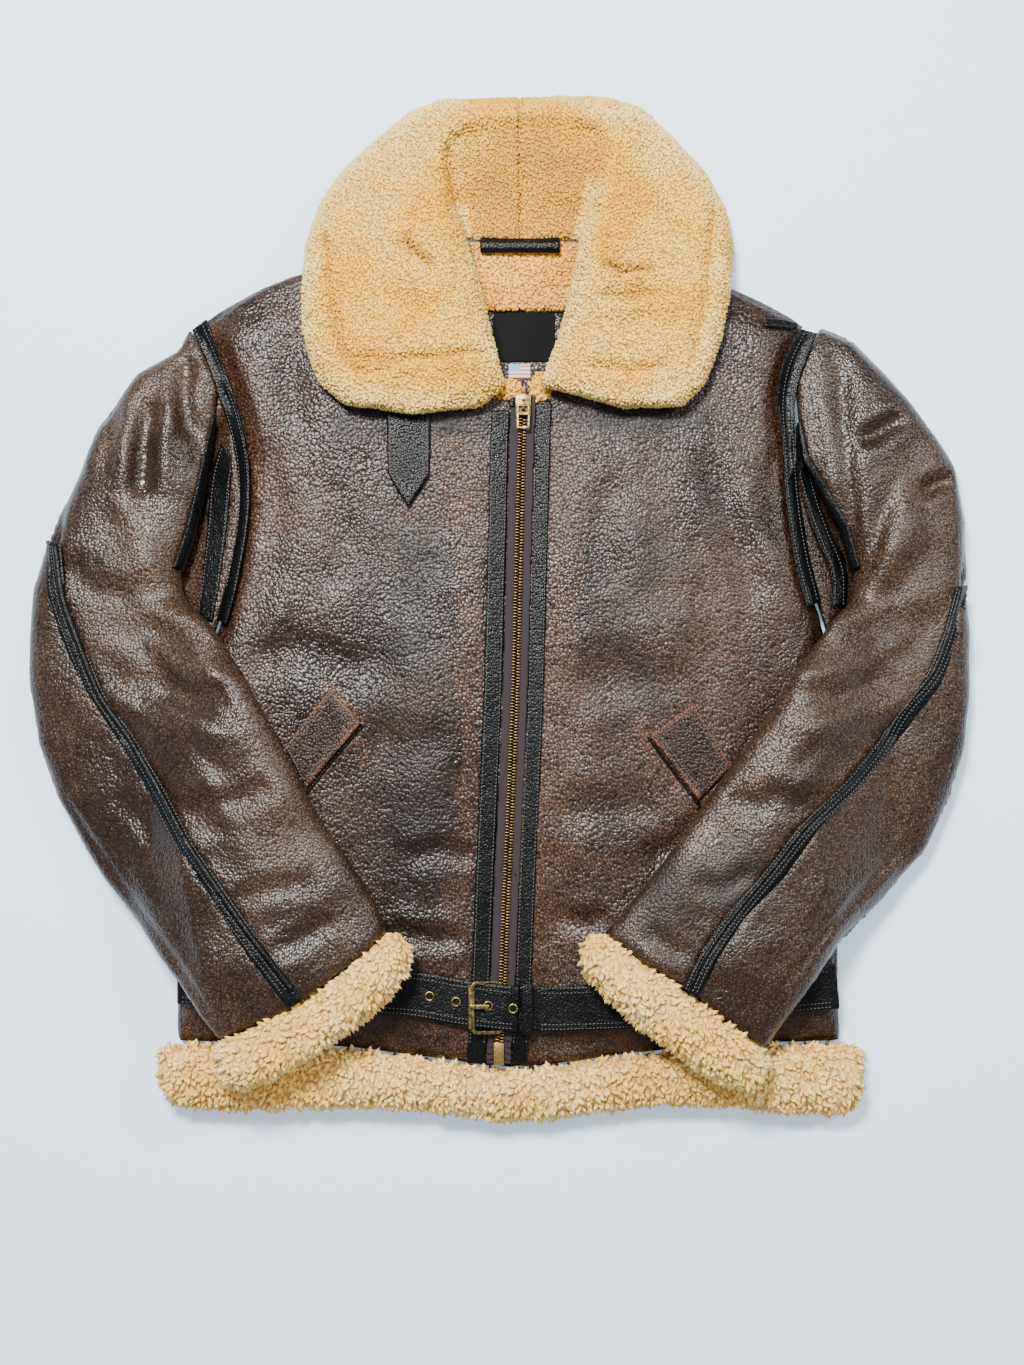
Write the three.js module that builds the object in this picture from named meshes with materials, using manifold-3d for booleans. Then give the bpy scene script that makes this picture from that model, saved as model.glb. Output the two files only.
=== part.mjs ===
import * as THREE from "three";
import { mergeVertices } from "three/addons/utils/BufferGeometryUtils.js";
import Module from "manifold-3d";

// A sheepskin flying jacket laid flat on its back, with the sleeves folded over the fronts.
// Millimetres: +X is the wearer's left, +Y runs to the collar and +Z is up off the surface.

const wasm = await Module();
wasm.setup();

// Driving sizes. The tables below are read from above in plan readings, across to the wearer's
// left and down to the hem, and CHEST_WIDTH over CHEST_READINGS is the size of one reading.
const CHEST_WIDTH = 560;
const CHEST_READINGS = 659;
const READING = CHEST_WIDTH / CHEST_READINGS;
const EYE = { across: 512, down: 682.5, height: 1600 };
const SEAM_GAP = 0.35;
const SMALLEST = 0.03;
const BACK_THICKNESS = 15;
const BODY_HEIGHT = 37;
const LEAST_FRONT = 24;
const HEM_HEIGHT = 43;
const SLEEVE_WALL = 14;
const SLIT = 1.3;
const STRAP_THICKNESS = 2.2;
const STRAP_LIFT = 0.8;
const BELT_THICKNESS = 3;
const BELT_WIDTH = 39;
const TAPE_THICKNESS = 1;
const CHAIN_THICKNESS = 2.2;

const COLOURS = {
  hide: 0x5c4233,
  sleeveHide: 0x6b503c,
  black: 0x232426,
  fleece: 0xe6c899,
  cream: 0xefdcb6,
  brass: 0x8f8152,
  gold: 0xc9a24c,
  tape: 0x50393c,
  label: 0x1d1d20,
  flag: 0xc9b9bd,
};

// Reading the tables

function table(names, ...rows) {
  const keys = names.split(" ");
  return rows.map((row) => Object.fromEntries(keys.map((key, i) => [key, row[i]])));
}

// A row part of the way down a table, on a smooth curve through the rows.
function rowAt(rows, share) {
  const place = THREE.MathUtils.clamp(share, 0, 1) * (rows.length - 1);
  const first = Math.min(Math.floor(place), rows.length - 2);
  const f = place - first;
  const row = (k) => rows[THREE.MathUtils.clamp(k, 0, rows.length - 1)];
  const out = {};
  for (const key of Object.keys(rows[0])) {
    const [p, q, r, s] = [-1, 0, 1, 2].map((k) => row(first + k)[key]);
    const bend = 2 * p - 5 * q + 4 * r - s + f * (3 * (q - r) + s - p);
    out[key] = q + 0.5 * f * (r - p + f * bend);
  }
  return out;
}

const shares = (count) => Array.from({ length: count }, (_, i) => i / (count - 1));

const spread = (rows, count) => shares(count).map((share) => rowAt(rows, share));

// The value of one column where another, which only grows, has the value asked for.
function lookUp(rows, by, value, key) {
  const next = rows.findIndex((row) => row[by] >= value);
  if (next === 0) return rows[0][key];
  if (next < 0) return rows[rows.length - 1][key];
  const [a, b] = [rows[next - 1], rows[next]];
  return THREE.MathUtils.lerp(a[key], b[key], (value - a[by]) / (b[by] - a[by]));
}

const step = (from, to, value) => THREE.MathUtils.smoothstep(value, from, to);
const mix = THREE.MathUtils.lerp;

// A quarter-round rise from the edge height to the full height over the reach of the edge.
function rounded(distance, edge, full, reach) {
  const left = 1 - THREE.MathUtils.clamp(distance / reach, 0, 1);
  return edge + (full - edge) * Math.sqrt(1 - left * left);
}

const point = (across, down, z) => [
  (across - EYE.across) * READING,
  (EYE.down - down) * READING,
  z,
];

// Solids

function facingOut(geometry) {
  const [p, index] = [geometry.attributes.position, geometry.index.array];
  const [a, b, c] = [new THREE.Vector3(), new THREE.Vector3(), new THREE.Vector3()];
  let volume = 0;
  for (let i = 0; i < index.length; i += 3) {
    a.fromBufferAttribute(p, index[i]);
    b.fromBufferAttribute(p, index[i + 1]);
    c.fromBufferAttribute(p, index[i + 2]);
    volume += a.dot(b.cross(c));
  }
  if (volume < 0)
    for (let i = 0; i < index.length; i += 3)
      [index[i + 1], index[i + 2]] = [index[i + 2], index[i + 1]];
  return geometry;
}

// A wall between two grids of points, the outer face and the inner one, closed round its edges.
function wall(outer, inner, ringed = false) {
  const [rows, columns] = [outer.length, outer[0].length];
  const id = (side, i, j) => side * rows * columns + i * columns + (j % columns);
  const faces = [];
  const quad = (a, b, c, d) => faces.push(a, b, c, a, c, d);
  const wide = ringed ? columns : columns - 1;
  const last = rows - 1;
  for (let j = 0; j < wide; j += 1) {
    for (let i = 0; i < last; i += 1) {
      quad(id(0, i, j), id(0, i, j + 1), id(0, i + 1, j + 1), id(0, i + 1, j));
      quad(id(1, i, j), id(1, i + 1, j), id(1, i + 1, j + 1), id(1, i, j + 1));
    }
    quad(id(0, 0, j), id(1, 0, j), id(1, 0, j + 1), id(0, 0, j + 1));
    quad(id(0, last, j), id(0, last, j + 1), id(1, last, j + 1), id(1, last, j));
  }
  for (let i = 0; i < last && !ringed; i += 1) {
    quad(id(0, i, 0), id(0, i + 1, 0), id(1, i + 1, 0), id(1, i, 0));
    quad(id(0, i, wide), id(1, i, wide), id(1, i + 1, wide), id(0, i + 1, wide));
  }
  const geometry = new THREE.BufferGeometry();
  const positions = new Float32Array([...outer.flat(2), ...inner.flat(2)]);
  geometry.setAttribute("position", new THREE.BufferAttribute(positions, 3));
  geometry.setIndex(faces);
  return facingOut(geometry);
}

function bare(geometry) {
  const copy = geometry.clone();
  copy.deleteAttribute("normal");
  copy.deleteAttribute("uv");
  return mergeVertices(copy, 1e-4);
}

function solidOf(geometry) {
  const merged = bare(geometry);
  const vertProperties = new Float32Array(merged.attributes.position.array);
  const triVerts = new Uint32Array(merged.index.array);
  return new wasm.Manifold(new wasm.Mesh({ numProp: 3, vertProperties, triVerts }));
}

function geometryOf(solid) {
  const largest = solid.decompose().sort((a, b) => b.volume() - a.volume())[0];
  const mesh = largest.simplify(SMALLEST).getMesh();
  const geometry = new THREE.BufferGeometry();
  geometry.setAttribute("position", new THREE.BufferAttribute(mesh.vertProperties, 3));
  geometry.setIndex(new THREE.BufferAttribute(mesh.triVerts, 1));
  return geometry;
}

const join = (a, b) => geometryOf(solidOf(a).add(solidOf(b)));

const ABOVE = [0, 0, SEAM_GAP];
const BELOW_HEM = [0, -SEAM_GAP, 0];
const outwards = (side) => [side === "right" ? -SEAM_GAP : SEAM_GAP, 0, 0];

// Takes the neighbours out of a piece, and a gap on one side of them with it.
function clearOf(geometry, neighbours, side = ABOVE) {
  let solid = solidOf(geometry);
  for (const neighbour of neighbours)
    for (const move of [[0, 0, 0], side])
      solid = solid.subtract(solidOf(bare(neighbour).translate(...move)));
  return geometryOf(solid);
}

// The height of the highest point of some geometries over a place, or 0 where there is none.
function topAt(geometries, x, y) {
  let top = 0;
  for (const geometry of geometries) {
    const [p, index] = [geometry.attributes.position.array, geometry.index.array];
    for (let i = 0; i < index.length; i += 3) {
      const [a, b, c] = [index[i] * 3, index[i + 1] * 3, index[i + 2] * 3];
      const [ax, ay, bx, by, cx, cy] = [p[a], p[a + 1], p[b], p[b + 1], p[c], p[c + 1]];
      if (Math.max(p[a + 2], p[b + 2], p[c + 2]) <= top) continue;
      if (x < Math.min(ax, bx, cx) || x > Math.max(ax, bx, cx)) continue;
      if (y < Math.min(ay, by, cy) || y > Math.max(ay, by, cy)) continue;
      const area = (bx - ax) * (cy - ay) - (cx - ax) * (by - ay);
      if (Math.abs(area) < 1e-9) continue;
      const s = ((x - ax) * (cy - ay) - (cx - ax) * (y - ay)) / area;
      const t = ((bx - ax) * (y - ay) - (x - ax) * (by - ay)) / area;
      if (s < 0 || t < 0 || s + t > 1) continue;
      top = Math.max(top, p[a + 2] * (1 - s - t) + p[b + 2] * s + p[c + 2] * t);
    }
  }
  return top;
}

// The height at which something rests on the geometries, clear of them for a reach all round.
function restOn(geometries, across, down, reach = 3) {
  const [x, y] = point(across, down, 0);
  const places = [[0, 0], [reach, 0], [-reach, 0], [0, reach], [0, -reach]];
  return SEAM_GAP + Math.max(...places.map(([dx, dy]) => topAt(geometries, x + dx, y + dy)));
}

// The lie of the body: where its sides, shoulders and zip are, and how high it stands

const SIDES = table(
  "down right left",
  [326, 199, 804],
  [358, 212, 795],
  [395, 227, 786],
  [435, 237, 789],
  [480, 244, 790],
  [525, 243, 796],
  [575, 235, 805],
  [620, 222, 821],
  [670, 204, 830],
  [740, 193, 834],
  [820, 186, 836],
  [900, 181, 838],
  [980, 178, 838],
  [1048, 176, 840],
);

const ZIP_LINE = table(
  "down across",
  [260, 528],
  [390, 524],
  [433, 522],
  [700, 515],
  [900, 506],
  [980, 503],
  [1070, 498],
);

const BELT_LINE = table(
  "across down",
  [176, 981],
  [240, 985],
  [330, 989],
  [405, 993],
  [430, 996.5],
  [456, 1002],
  [488, 1006],
  [515, 1009],
  [560, 1009],
  [620, 1007],
  [740, 995],
  [838, 986],
);

const SHOULDER = { right: 194, left: 806, down: 326, rise: 80, bow: { right: 1, left: 0.6 } };

const zipAt = (down) => lookUp(ZIP_LINE, "down", down, "across");

function shoulderAt(across) {
  const share = (across - SHOULDER.right) / (SHOULDER.left - SHOULDER.right);
  return SHOULDER.down - SHOULDER.rise * 4 * share * (1 - share);
}

// Soft ridges and troughs from one place to another, with their height and half width.
const FOLDS = table(
  "across down toAcross toDown height width",
  [330, 470, 400, 700, 1.6, 30],
  [450, 560, 430, 860, 1.4, 26],
  [245, 660, 330, 640, -2.2, 12],
  [600, 460, 680, 640, 1.8, 32],
  [570, 640, 590, 900, 1.3, 24],
  [780, 640, 690, 660, -2, 12],
  [360, 930, 440, 900, -1.6, 12],
  [560, 930, 640, 880, -1.4, 12],
  [185, 360, 190, 440, -5, 11],
  [148, 400, 142, 495, -5, 12],
  [166, 380, 160, 470, 3, 10],
  [122, 510, 186, 643, 4, 16],
  [186, 643, 290, 800, 3, 20],
  [60, 600, 130, 620, -3, 10],
  [215, 640, 150, 700, -2.5, 11],
  [835, 362, 845, 378, -4, 10],
  [858, 439, 904, 416, -5, 9],
  [924, 490, 956, 476, -8, 9],
  [950, 500, 894, 553, 5, 13],
  [894, 553, 858, 612, 4, 14],
  [930, 445, 880, 470, 3, 12],
  [880, 700, 800, 760, 2, 18],
  [940, 620, 900, 640, -3, 10],
);

function folds(across, down) {
  let height = 0;
  for (const fold of FOLDS) {
    const [dx, dy] = [fold.toAcross - fold.across, fold.toDown - fold.down];
    const length2 = dx * dx + dy * dy;
    const along = ((across - fold.across) * dx + (down - fold.down) * dy) / length2;
    const nearest = THREE.MathUtils.clamp(along, 0, 1);
    const off = Math.hypot(
      across - fold.across - dx * nearest,
      down - fold.down - dy * nearest,
    );
    height += fold.height * Math.exp(-((off / fold.width) ** 2));
  }
  return height;
}

// Distance in from the nearer side of the body, negative outside it.
function inFromSide(across, down) {
  const right = lookUp(SIDES, "down", down, "right");
  const left = lookUp(SIDES, "down", down, "left");
  return Math.min(across - right, left - across) * READING;
}

function bodyTop(across, down) {
  const belly = 2.5 * Math.sin(Math.PI * step(330, 1040, down));
  return BODY_HEIGHT + belly;
}

// What the sleeves, cuffs and collar lie on, ramped at the body's sides and shoulders.
function ground(across, down) {
  const outside = mix(8, 52, step(330, 610, down));
  const side = step(-outside, 20, inFromSide(across, down));
  const shoulder = shoulderAt(across);
  const top = step(shoulder - 45, shoulder + 6, down);
  const fromBelt = Math.abs(down - lookUp(BELT_LINE, "across", across, "down"));
  const belt = (BELT_THICKNESS + 1.2) * (1 - step(26, 60, fromBelt));
  const hem = (HEM_HEIGHT - BODY_HEIGHT + 1.5) * step(1030, 1052, down);
  return (bodyTop(across, down) + Math.max(belt, hem)) * side * top;
}

// The pieces, kept in the plan until the eye's height is applied to all of them

const pieces = new Map();

function piece(name, geometry, colour, roughness = 0.55, metalness = 0) {
  const look = { color: COLOURS[colour], roughness, metalness, side: THREE.FrontSide };
  pieces.set(name, { geometry: bare(geometry), look });
}

const shapeOf = (...names) => names.map((name) => pieces.get(name).geometry);

function trim(name, neighbours, side = ABOVE) {
  const kept = pieces.get(name);
  kept.geometry = bare(clearOf(kept.geometry, shapeOf(...neighbours), side));
}

// A pad between two edges, a row across for each section. heightAt and baseAt give the faces.
function pad(rows, across, heightAt, baseAt) {
  const grid = (zAt) =>
    rows.map((row, i) =>
      across.map((u) => {
        const bow = (row.bow ?? 0) * 4 * u * (1 - u);
        const x = mix(row.fromAcross, row.toAcross, u);
        const y = row.atHem ? hemAt(x) : mix(row.fromDown, row.toDown, u) - bow;
        return point(x, y, zAt(x, y, u, i / (rows.length - 1)));
      }),
    );
  return wall(grid(heightAt), grid(baseAt));
}

// Body: the back, the two fronts and the gussets under the arms

const ACROSS_BACK = [0, 0.02, 0.06, 0.14, 0.26, 0.38, 0.5, 0.62, 0.74, 0.86, 0.94, 0.98, 1];
const ACROSS_FRONT = [0, 0.03, 0.08, 0.16, 0.28, 0.42, 0.58, 0.74, 0.88, 1];
const HEM_LINE = table(
  "across down",
  [157, 1046],
  [176, 1041],
  [300, 1043],
  [360, 1048],
  [420, 1056],
  [465, 1062],
  [499, 1068],
  [524, 1068],
  [560, 1063],
  [600, 1057],
  [650, 1051],
  [720, 1044],
  [780, 1041.5],
  [840, 1041],
  [863, 1046],
);

const hemAt = (across) => lookUp(HEM_LINE, "across", across, "down");

function makeBack() {
  const last = SIDES.length - 1;
  const rows = SIDES.map((row, i) => ({
    fromAcross: row.right,
    fromDown: row.down,
    toAcross: row.left,
    toDown: row.down,
    bow: SHOULDER.rise * ([1, 0.62, 0.32, 0.12, 0.03][i] ?? 0),
    atHem: i === last,
  }));
  piece("back_panel", pad(rows, ACROSS_BACK, () => BACK_THICKNESS, () => 0), "hide");
}

const FRONT_ROWS = table(
  "sideDown innerDown innerRight innerLeft bow",
  [326, 268, 420, 622, 26],
  [346, 318, 455, 600, 17],
  [368, 355, 478, 568, 11],
  [390, 378, 501, 546, 6],
  [408, 393, 0, 0, 3],
  [440, 436, 0, 0, 0],
  [480, 480, 0, 0, 0],
  [525, 525, 0, 0, 0],
  [575, 575, 0, 0, 0],
  [620, 622, 0, 0, 0],
  [670, 674, 0, 0, 0],
  [740, 745, 0, 0, 0],
  [820, 826, 0, 0, 0],
  [900, 908, 0, 0, 0],
  [960, 972, 0, 0, 3],
  [1005, 1024, 0, 0, 6],
  [1041, 1068, 0, 0, 0],
);

function makeFront(side) {
  const outwards = side === "right" ? -1 : 1;
  const inner = side === "right" ? "innerRight" : "innerLeft";
  const rows = FRONT_ROWS.map((row) => ({
    fromAcross: lookUp(SIDES, "down", row.sideDown, side),
    fromDown: row.sideDown,
    toAcross: row[inner] || zipAt(row.innerDown) + outwards * 0.6,
    toDown: row.innerDown,
    bow: row === FRONT_ROWS[0] ? row.bow * SHOULDER.bow[side] : row.bow,
    atHem: row === FRONT_ROWS[FRONT_ROWS.length - 1],
  }));
  const base = () => BACK_THICKNESS + SEAM_GAP;
  const top = (x, y, u, v) => {
    const armhole = 1 - step(600, 660, y);
    const fromSide = Math.max(inFromSide(x, y), 0);
    const edge = rounded(fromSide, 16 + 10 * armhole, bodyTop(x, y) - 0.6, 24);
    const shoulder = rounded(v * 16, 0.72, 1, 1.6);
    const hem = rounded((1 - v) * 16, 0.8, 1, 1);
    const crease = folds(x, y) * step(0, 0.1, u) * (1 - step(0.85, 0.95, u));
    const zip = 2.2 * step(0.8, 1, u);
    const most = ground(x, y) - 0.5 + 3 * step(12, 40, fromSide);
    return Math.max(Math.min(edge * shoulder * hem + crease - zip, most), LEAST_FRONT);
  };
  piece(`${side}_front`, pad(rows, ACROSS_FRONT, top, base), "hide");
}

const GUSSETS = {
  right: table(
    "fromAcross fromDown toAcross toDown",
    [219, 412, 228.5, 412],
    [206, 445, 237, 445],
    [194, 490, 242.5, 490],
    [182, 530, 241, 530],
    [172, 572, 233.5, 572],
    [172, 605, 224.5, 605],
    [178, 640, 213, 640],
  ),
  left: table(
    "fromAcross fromDown toAcross toDown",
    [792, 425, 800, 425],
    [791.5, 465, 812, 462],
    [793.5, 500, 834, 497],
    [799, 540, 851, 536],
    [808, 578, 863, 575],
    [822.5, 618, 862, 612],
    [828.5, 650, 850, 640],
  ),
};

function makeGusset(side) {
  const outer = side === "right" ? 0 : 1;
  const top = (x, y, u) => mix(24, 9, step(0, 1, Math.abs(u - (1 - outer))));
  const rows = spread(GUSSETS[side], 9);
  piece(`${side}_gusset`, pad(rows, shares(6), top, () => 0), "hide");
}

// Sleeves: flattened tubes of a top sleeve, which wraps round the inside of the arm and the
// underside, and a narrow under sleeve between the strap seam and the outer edge

const SLEEVES = {
  right: table(
    "outAcross outDown inAcross inDown strap half bow",
    [191, 328, 219, 384, -0.06, 12],
    [180, 351, 215, 418, -0.06, 16],
    [137, 373, 209, 455, -0.06, 18],
    [97, 429, 203, 490, -0.06, 20],
    [73, 489, 193, 534, -0.06, 21],
    [48, 540, 181, 570, 0.05, 22],
    [33, 590, 186, 600, 0.158, 22],
    [29, 640, 215, 628, 0.227, 22],
    [30, 690, 245, 675, 0.293, 22],
    [38, 745, 275, 730, 0.376, 22],
    [56, 796, 303, 785, 0.413, 22],
    [89, 857, 328, 830, 0.401, 22],
    [139, 927, 352, 862, 0.396, 22],
    [180, 987, 370, 893, 0.397, 22, 5],
    [218, 1040, 387, 928, 0.418, 21, 14],
  ),
  left: table(
    "outAcross outDown inAcross inDown strap half",
    [820, 326, 794, 378, -0.06, 12],
    [853, 339, 798, 422, -0.06, 16],
    [886, 374, 804, 460, -0.06, 18.5],
    [921, 417, 822, 492, -0.06, 20.5],
    [956, 469, 842, 530, -0.06, 21.5],
    [967, 525, 853, 570, -0.06, 22],
    [966, 585, 851, 600, 0.02, 22],
    [967, 635, 828, 625, 0.115, 22],
    [969, 690, 795, 672, 0.228, 22],
    [964, 745, 762, 722, 0.369, 22],
    [950, 800, 728, 768, 0.446, 22],
    [924, 851, 702, 805, 0.523, 22],
    [881, 903, 675, 845, 0.517, 22],
    [838, 948, 645, 885, 0.528, 22],
    [802, 998, 624, 913, 0.52, 22],
    [766, 1050, 604, 931, 0.47, 21],
  ),
};
const FLATNESS = 2.7;
const OUTER_SEAM = Math.PI * 1.03;
const FIRST_STRAP_ROW = 5;

const flattened = (value) => Math.sign(value) * Math.abs(value) ** (2 / FLATNESS);

// A point round a flat tube's section: turn 0 is its inner edge, a half turn its outer edge.
// The depth is 0 on the outer face and 1 on the inner one, and proud is how far out it stands.
function roundSleeve(row, turn, depth, proud = 0) {
  const [dx, dy] = [row.inAcross - row.outAcross, row.inDown - row.outDown];
  const halfWidth = (Math.hypot(dx, dy) / 2) * READING;
  const reach = depth ? (halfWidth - SLEEVE_WALL) / halfWidth : 1 + proud / halfWidth;
  const share = 0.5 + 0.5 * reach * flattened(Math.cos(turn));
  const bow = (row.bow ?? 0) * 4 * share * (1 - share);
  const length = Math.hypot(dx, dy);
  const across = row.outAcross + dx * share - (dy / length) * bow;
  const down = row.outDown + dy * share + (dx / length) * bow;
  const rise = flattened(Math.sin(turn));
  const lie = ground(across, down);
  const clear = Math.min(1, lie / 6) * 1.1;
  const middle = lie + clear + row.half;
  const crease = rise > 0 ? folds(across, down) * rise : 0;
  const half = depth ? SLIT : row.half + proud;
  return point(across, down, Math.max(middle + rise * half + (depth ? 0 : crease), 0));
}

// The turn at which a section's top lies a share of the way from its outer edge to its inner.
function turnAt(share) {
  const side = THREE.MathUtils.clamp(share * 2 - 1, -1, 1);
  return Math.acos(Math.sign(side) * Math.abs(side) ** (FLATNESS / 2));
}

const strapTurn = (row) =>
  row.strap <= 0 ? OUTER_SEAM - 0.02 : Math.min(turnAt(row.strap), OUTER_SEAM - 0.12);

function makeSleeve(side) {
  const rows = SLEEVES[side];
  const seam = 0.02;
  const top = rows.map((row) => {
    const from = strapTurn(row) - seam;
    const to = OUTER_SEAM - 2 * Math.PI + seam;
    return shares(21).map((share) => mix(from, to, share));
  });
  const grid = (turns, kept, depth) =>
    kept.map((row, i) => turns[i].map((turn) => roundSleeve(row, turn, depth)));
  piece(`${side}_top_sleeve`, wall(grid(top, rows, 0), grid(top, rows, 1)), "sleeveHide");
  const first = side === "right" ? FIRST_STRAP_ROW : FIRST_STRAP_ROW + 1;
  const lower = rows.slice(first);
  const under = lower.map((row) => {
    const from = strapTurn(row) + seam;
    return shares(6).map((share) => mix(from, OUTER_SEAM - seam, share));
  });
  const face = (depth) => grid(under, lower, depth);
  piece(`${side}_under_sleeve`, wall(face(0), face(1)), "sleeveHide");
  trim(`${side}_under_sleeve`, [`${side}_top_sleeve`], outwards(side));
  trim(`${side}_under_sleeve`, [`${side}_top_sleeve`]);
  trim(`${side}_top_sleeve`, [`${side}_front`, `${side}_gusset`, `belt_${side}`, `${side}_pocket_welt`]);
}

// A strap stitched along a sleeve, between two turns of each section.
function sleeveStrap(name, rows, turnsOf, under) {
  const grid = (proud) =>
    rows.map((row) => turnsOf(row).map((turn) => roundSleeve(row, turn, 0, proud)));
  piece(name, wall(grid(STRAP_LIFT + STRAP_THICKNESS), grid(STRAP_LIFT)), "black", 0.4);
  trim(name, under);
  trim(name, under, outwards(name.split("_")[0]));
}

function makeSleeveStraps(side) {
  const first = side === "right" ? FIRST_STRAP_ROW : FIRST_STRAP_ROW + 1;
  const strip = (row) => {
    const [dx, dy] = [row.inAcross - row.outAcross, row.inDown - row.outDown];
    const half = 9 / Math.hypot(dx, dy);
    return shares(4).map((share) => turnAt(Math.max(row.strap + (share * 2 - 1) * half, 0.004)));
  };
  const panels = [`${side}_top_sleeve`, `${side}_under_sleeve`];
  sleeveStrap(`${side}_sleeve_strap`, SLEEVES[side].slice(first), strip, panels);
  const head = SLEEVES[side].slice(1, 6);
  sleeveStrap(`${side}_sleeve_head_strap`, head, () => [0.05, 0.35, 0.65], panels);
}

// Cuffs: closed bands of fleece round the sleeve ends, open at the end

const CUFFS = {
  right: table(
    "outAcross outDown inAcross inDown half bow",
    [218.3, 1040.5, 387.3, 928.5, 21.5, 14],
    [211, 1056, 400, 929, 25, 18],
    [212, 1072, 409, 938, 26, 24],
    [220, 1088, 413, 955, 25, 22],
    [238, 1092, 409, 977, 19, 12],
  ),
  left: table(
    "outAcross outDown inAcross inDown half bow",
    [765.7, 1050.4, 603.7, 931.4, 21.5, 0],
    [771, 1064, 588, 929, 25, -3],
    [768, 1080, 580, 938, 26, -6],
    [757, 1091, 577, 952, 25, -10],
    [738, 1093, 583, 974, 19, -7],
  ),
};

function makeCuff(side) {
  const turns = shares(19).slice(0, 18).map((share) => share * 2 * Math.PI);
  const grid = (depth) =>
    CUFFS[side].map((row) => turns.map((turn) => roundSleeve(row, turn, depth)));
  piece(`${side}_cuff`, wall(grid(0), grid(1), true), "cream", 0.9);
  const end = side === "right" ? 1 : -1;
  const arm = [`${side}_top_sleeve`, `${side}_under_sleeve`, `${side}_sleeve_strap`];
  trim(`${side}_cuff`, arm, [end * 0.6 * SEAM_GAP, -0.8 * SEAM_GAP, 0]);
}

// Collar: two halves of fleece, each a wing turned over the front and half of the back stand

const COLLARS = {
  right: table(
    "fromAcross fromDown toAcross toDown roll edge",
    [519.6, 132, 519.6, 98, 52, 46],
    [486, 130, 481, 97.5, 55, 46],
    [455, 140, 443, 98.5, 60, 46],
    [449, 158, 408, 114, 64, 46],
    [453, 178, 378, 137, 67, 47],
    [458, 200, 347, 167, 69, 49],
    [465, 227, 321, 200, 71, 52],
    [472, 256, 306, 240, 72, 56],
    [480, 286, 300, 292, 72, 60],
    [487, 313, 303, 340, 71, 62],
    [493, 337, 317, 381, 69, 62],
    [498, 356, 343, 405, 67, 62],
    [502, 372, 410, 415, 64, 61],
    [506, 386, 479, 409, 60, 58],
  ),
  left: table(
    "fromAcross fromDown toAcross toDown roll edge",
    [520.4, 132, 520.4, 98, 52, 46],
    [560, 128, 566, 97, 55, 46],
    [598, 134, 608, 97, 60, 46],
    [601, 152, 642, 107, 64, 46],
    [595, 174, 674, 138, 67, 47],
    [589, 200, 703, 170, 69, 49],
    [583, 228, 727, 207, 71, 52],
    [577, 258, 734, 243, 72, 56],
    [570, 288, 732, 292, 72, 60],
    [563, 316, 722, 340, 71, 62],
    [556, 339, 707, 382, 69, 62],
    [550, 357, 684, 407, 67, 62],
    [544, 373, 625, 410, 64, 61],
    [539, 387, 566, 393, 60, 58],
  ),
};
const STANDS = {
  right: table(
    "fromAcross fromDown toAcross toDown",
    [519.6, 110, 478, 110],
    [519.6, 140, 447, 140],
    [519.6, 172, 443, 172],
    [519.6, 206, 452, 206],
    [519.6, 242.5, 461, 240],
  ),
  left: table(
    "fromAcross fromDown toAcross toDown",
    [520.4, 110, 566, 110],
    [520.4, 140, 610, 140],
    [520.4, 172, 604, 172],
    [520.4, 206, 596, 206],
    [520.4, 242.5, 588, 240],
  ),
};

function makeCollar(side) {
  const rows = COLLARS[side];
  const columns = [0, 0.03, 0.1, 0.22, 0.4, 0.6, 0.78, 0.9, 0.97, 1];
  const base = (x, y) => {
    const lie = ground(x, y);
    return lie + Math.min(1, lie / 6) * 0.9;
  };
  const top = (x, y, u, v) => {
    const row = rows[Math.round(v * (rows.length - 1))];
    const length = Math.hypot(row.toAcross - row.fromAcross, row.toDown - row.fromDown);
    const fromEdge = Math.min(u, 1 - u) * length * READING;
    const full = mix(row.roll, row.edge, step(0, 0.9, u));
    const low = base(x, y);
    return low + 4 + (full - low - 4) * rounded(fromEdge, 0.18, 1, 15) * rounded((1 - v) * 13, 0.7, 1, 1);
  };
  const wing = pad(rows, columns, top, base);
  const standTop = (x, y) => mix(44, 24, step(120, 243, y));
  const stand = pad(spread(STANDS[side], 7), shares(4), standTop, () => 0);
  piece(`${side}_collar`, join(wing, stand), "fleece", 0.9);
  const below = [`${side}_front`, "back_panel", `${side}_zip_facing`, `${side}_zip_tape`];
  trim(`${side}_collar`, side === "right" ? [...below, "throat_tab"] : below);
}

// Hem: fleece bands along the bottom edge of the fronts and the back

const HEMS = {
  right: table(
    "fromAcross fromDown toAcross toDown",
    [157, 1052, 160, 1086],
    [163, 1043, 166, 1100],
    [186, 1042, 190, 1108],
    [240, 1041.6, 240, 1110],
    [300, 1044, 300, 1110],
    [360, 1049, 360, 1107],
    [420, 1056, 425, 1110],
    [465, 1063, 466, 1117],
    [499, 1069, 500, 1119],
    [510.6, 1070, 510.6, 1117],
  ),
  left: table(
    "fromAcross fromDown toAcross toDown",
    [863, 1056, 861, 1094],
    [858, 1045, 855, 1107],
    [838, 1042, 834, 1115],
    [780, 1042, 780, 1111],
    [720, 1044, 720, 1106],
    [650, 1051, 650, 1106],
    [600, 1057, 600, 1112],
    [560, 1063, 560, 1118],
    [524, 1069, 524, 1120],
    [511.4, 1070, 511.4, 1117],
  ),
};

// The rows of a hem band, whose upper edge follows the line of the hem.
function hemRows(side, count) {
  const rows = spread(HEMS[side], count);
  return rows.map((row) => ({ ...row, fromDown: hemAt(row.fromAcross) + 0.6 }));
}

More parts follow.
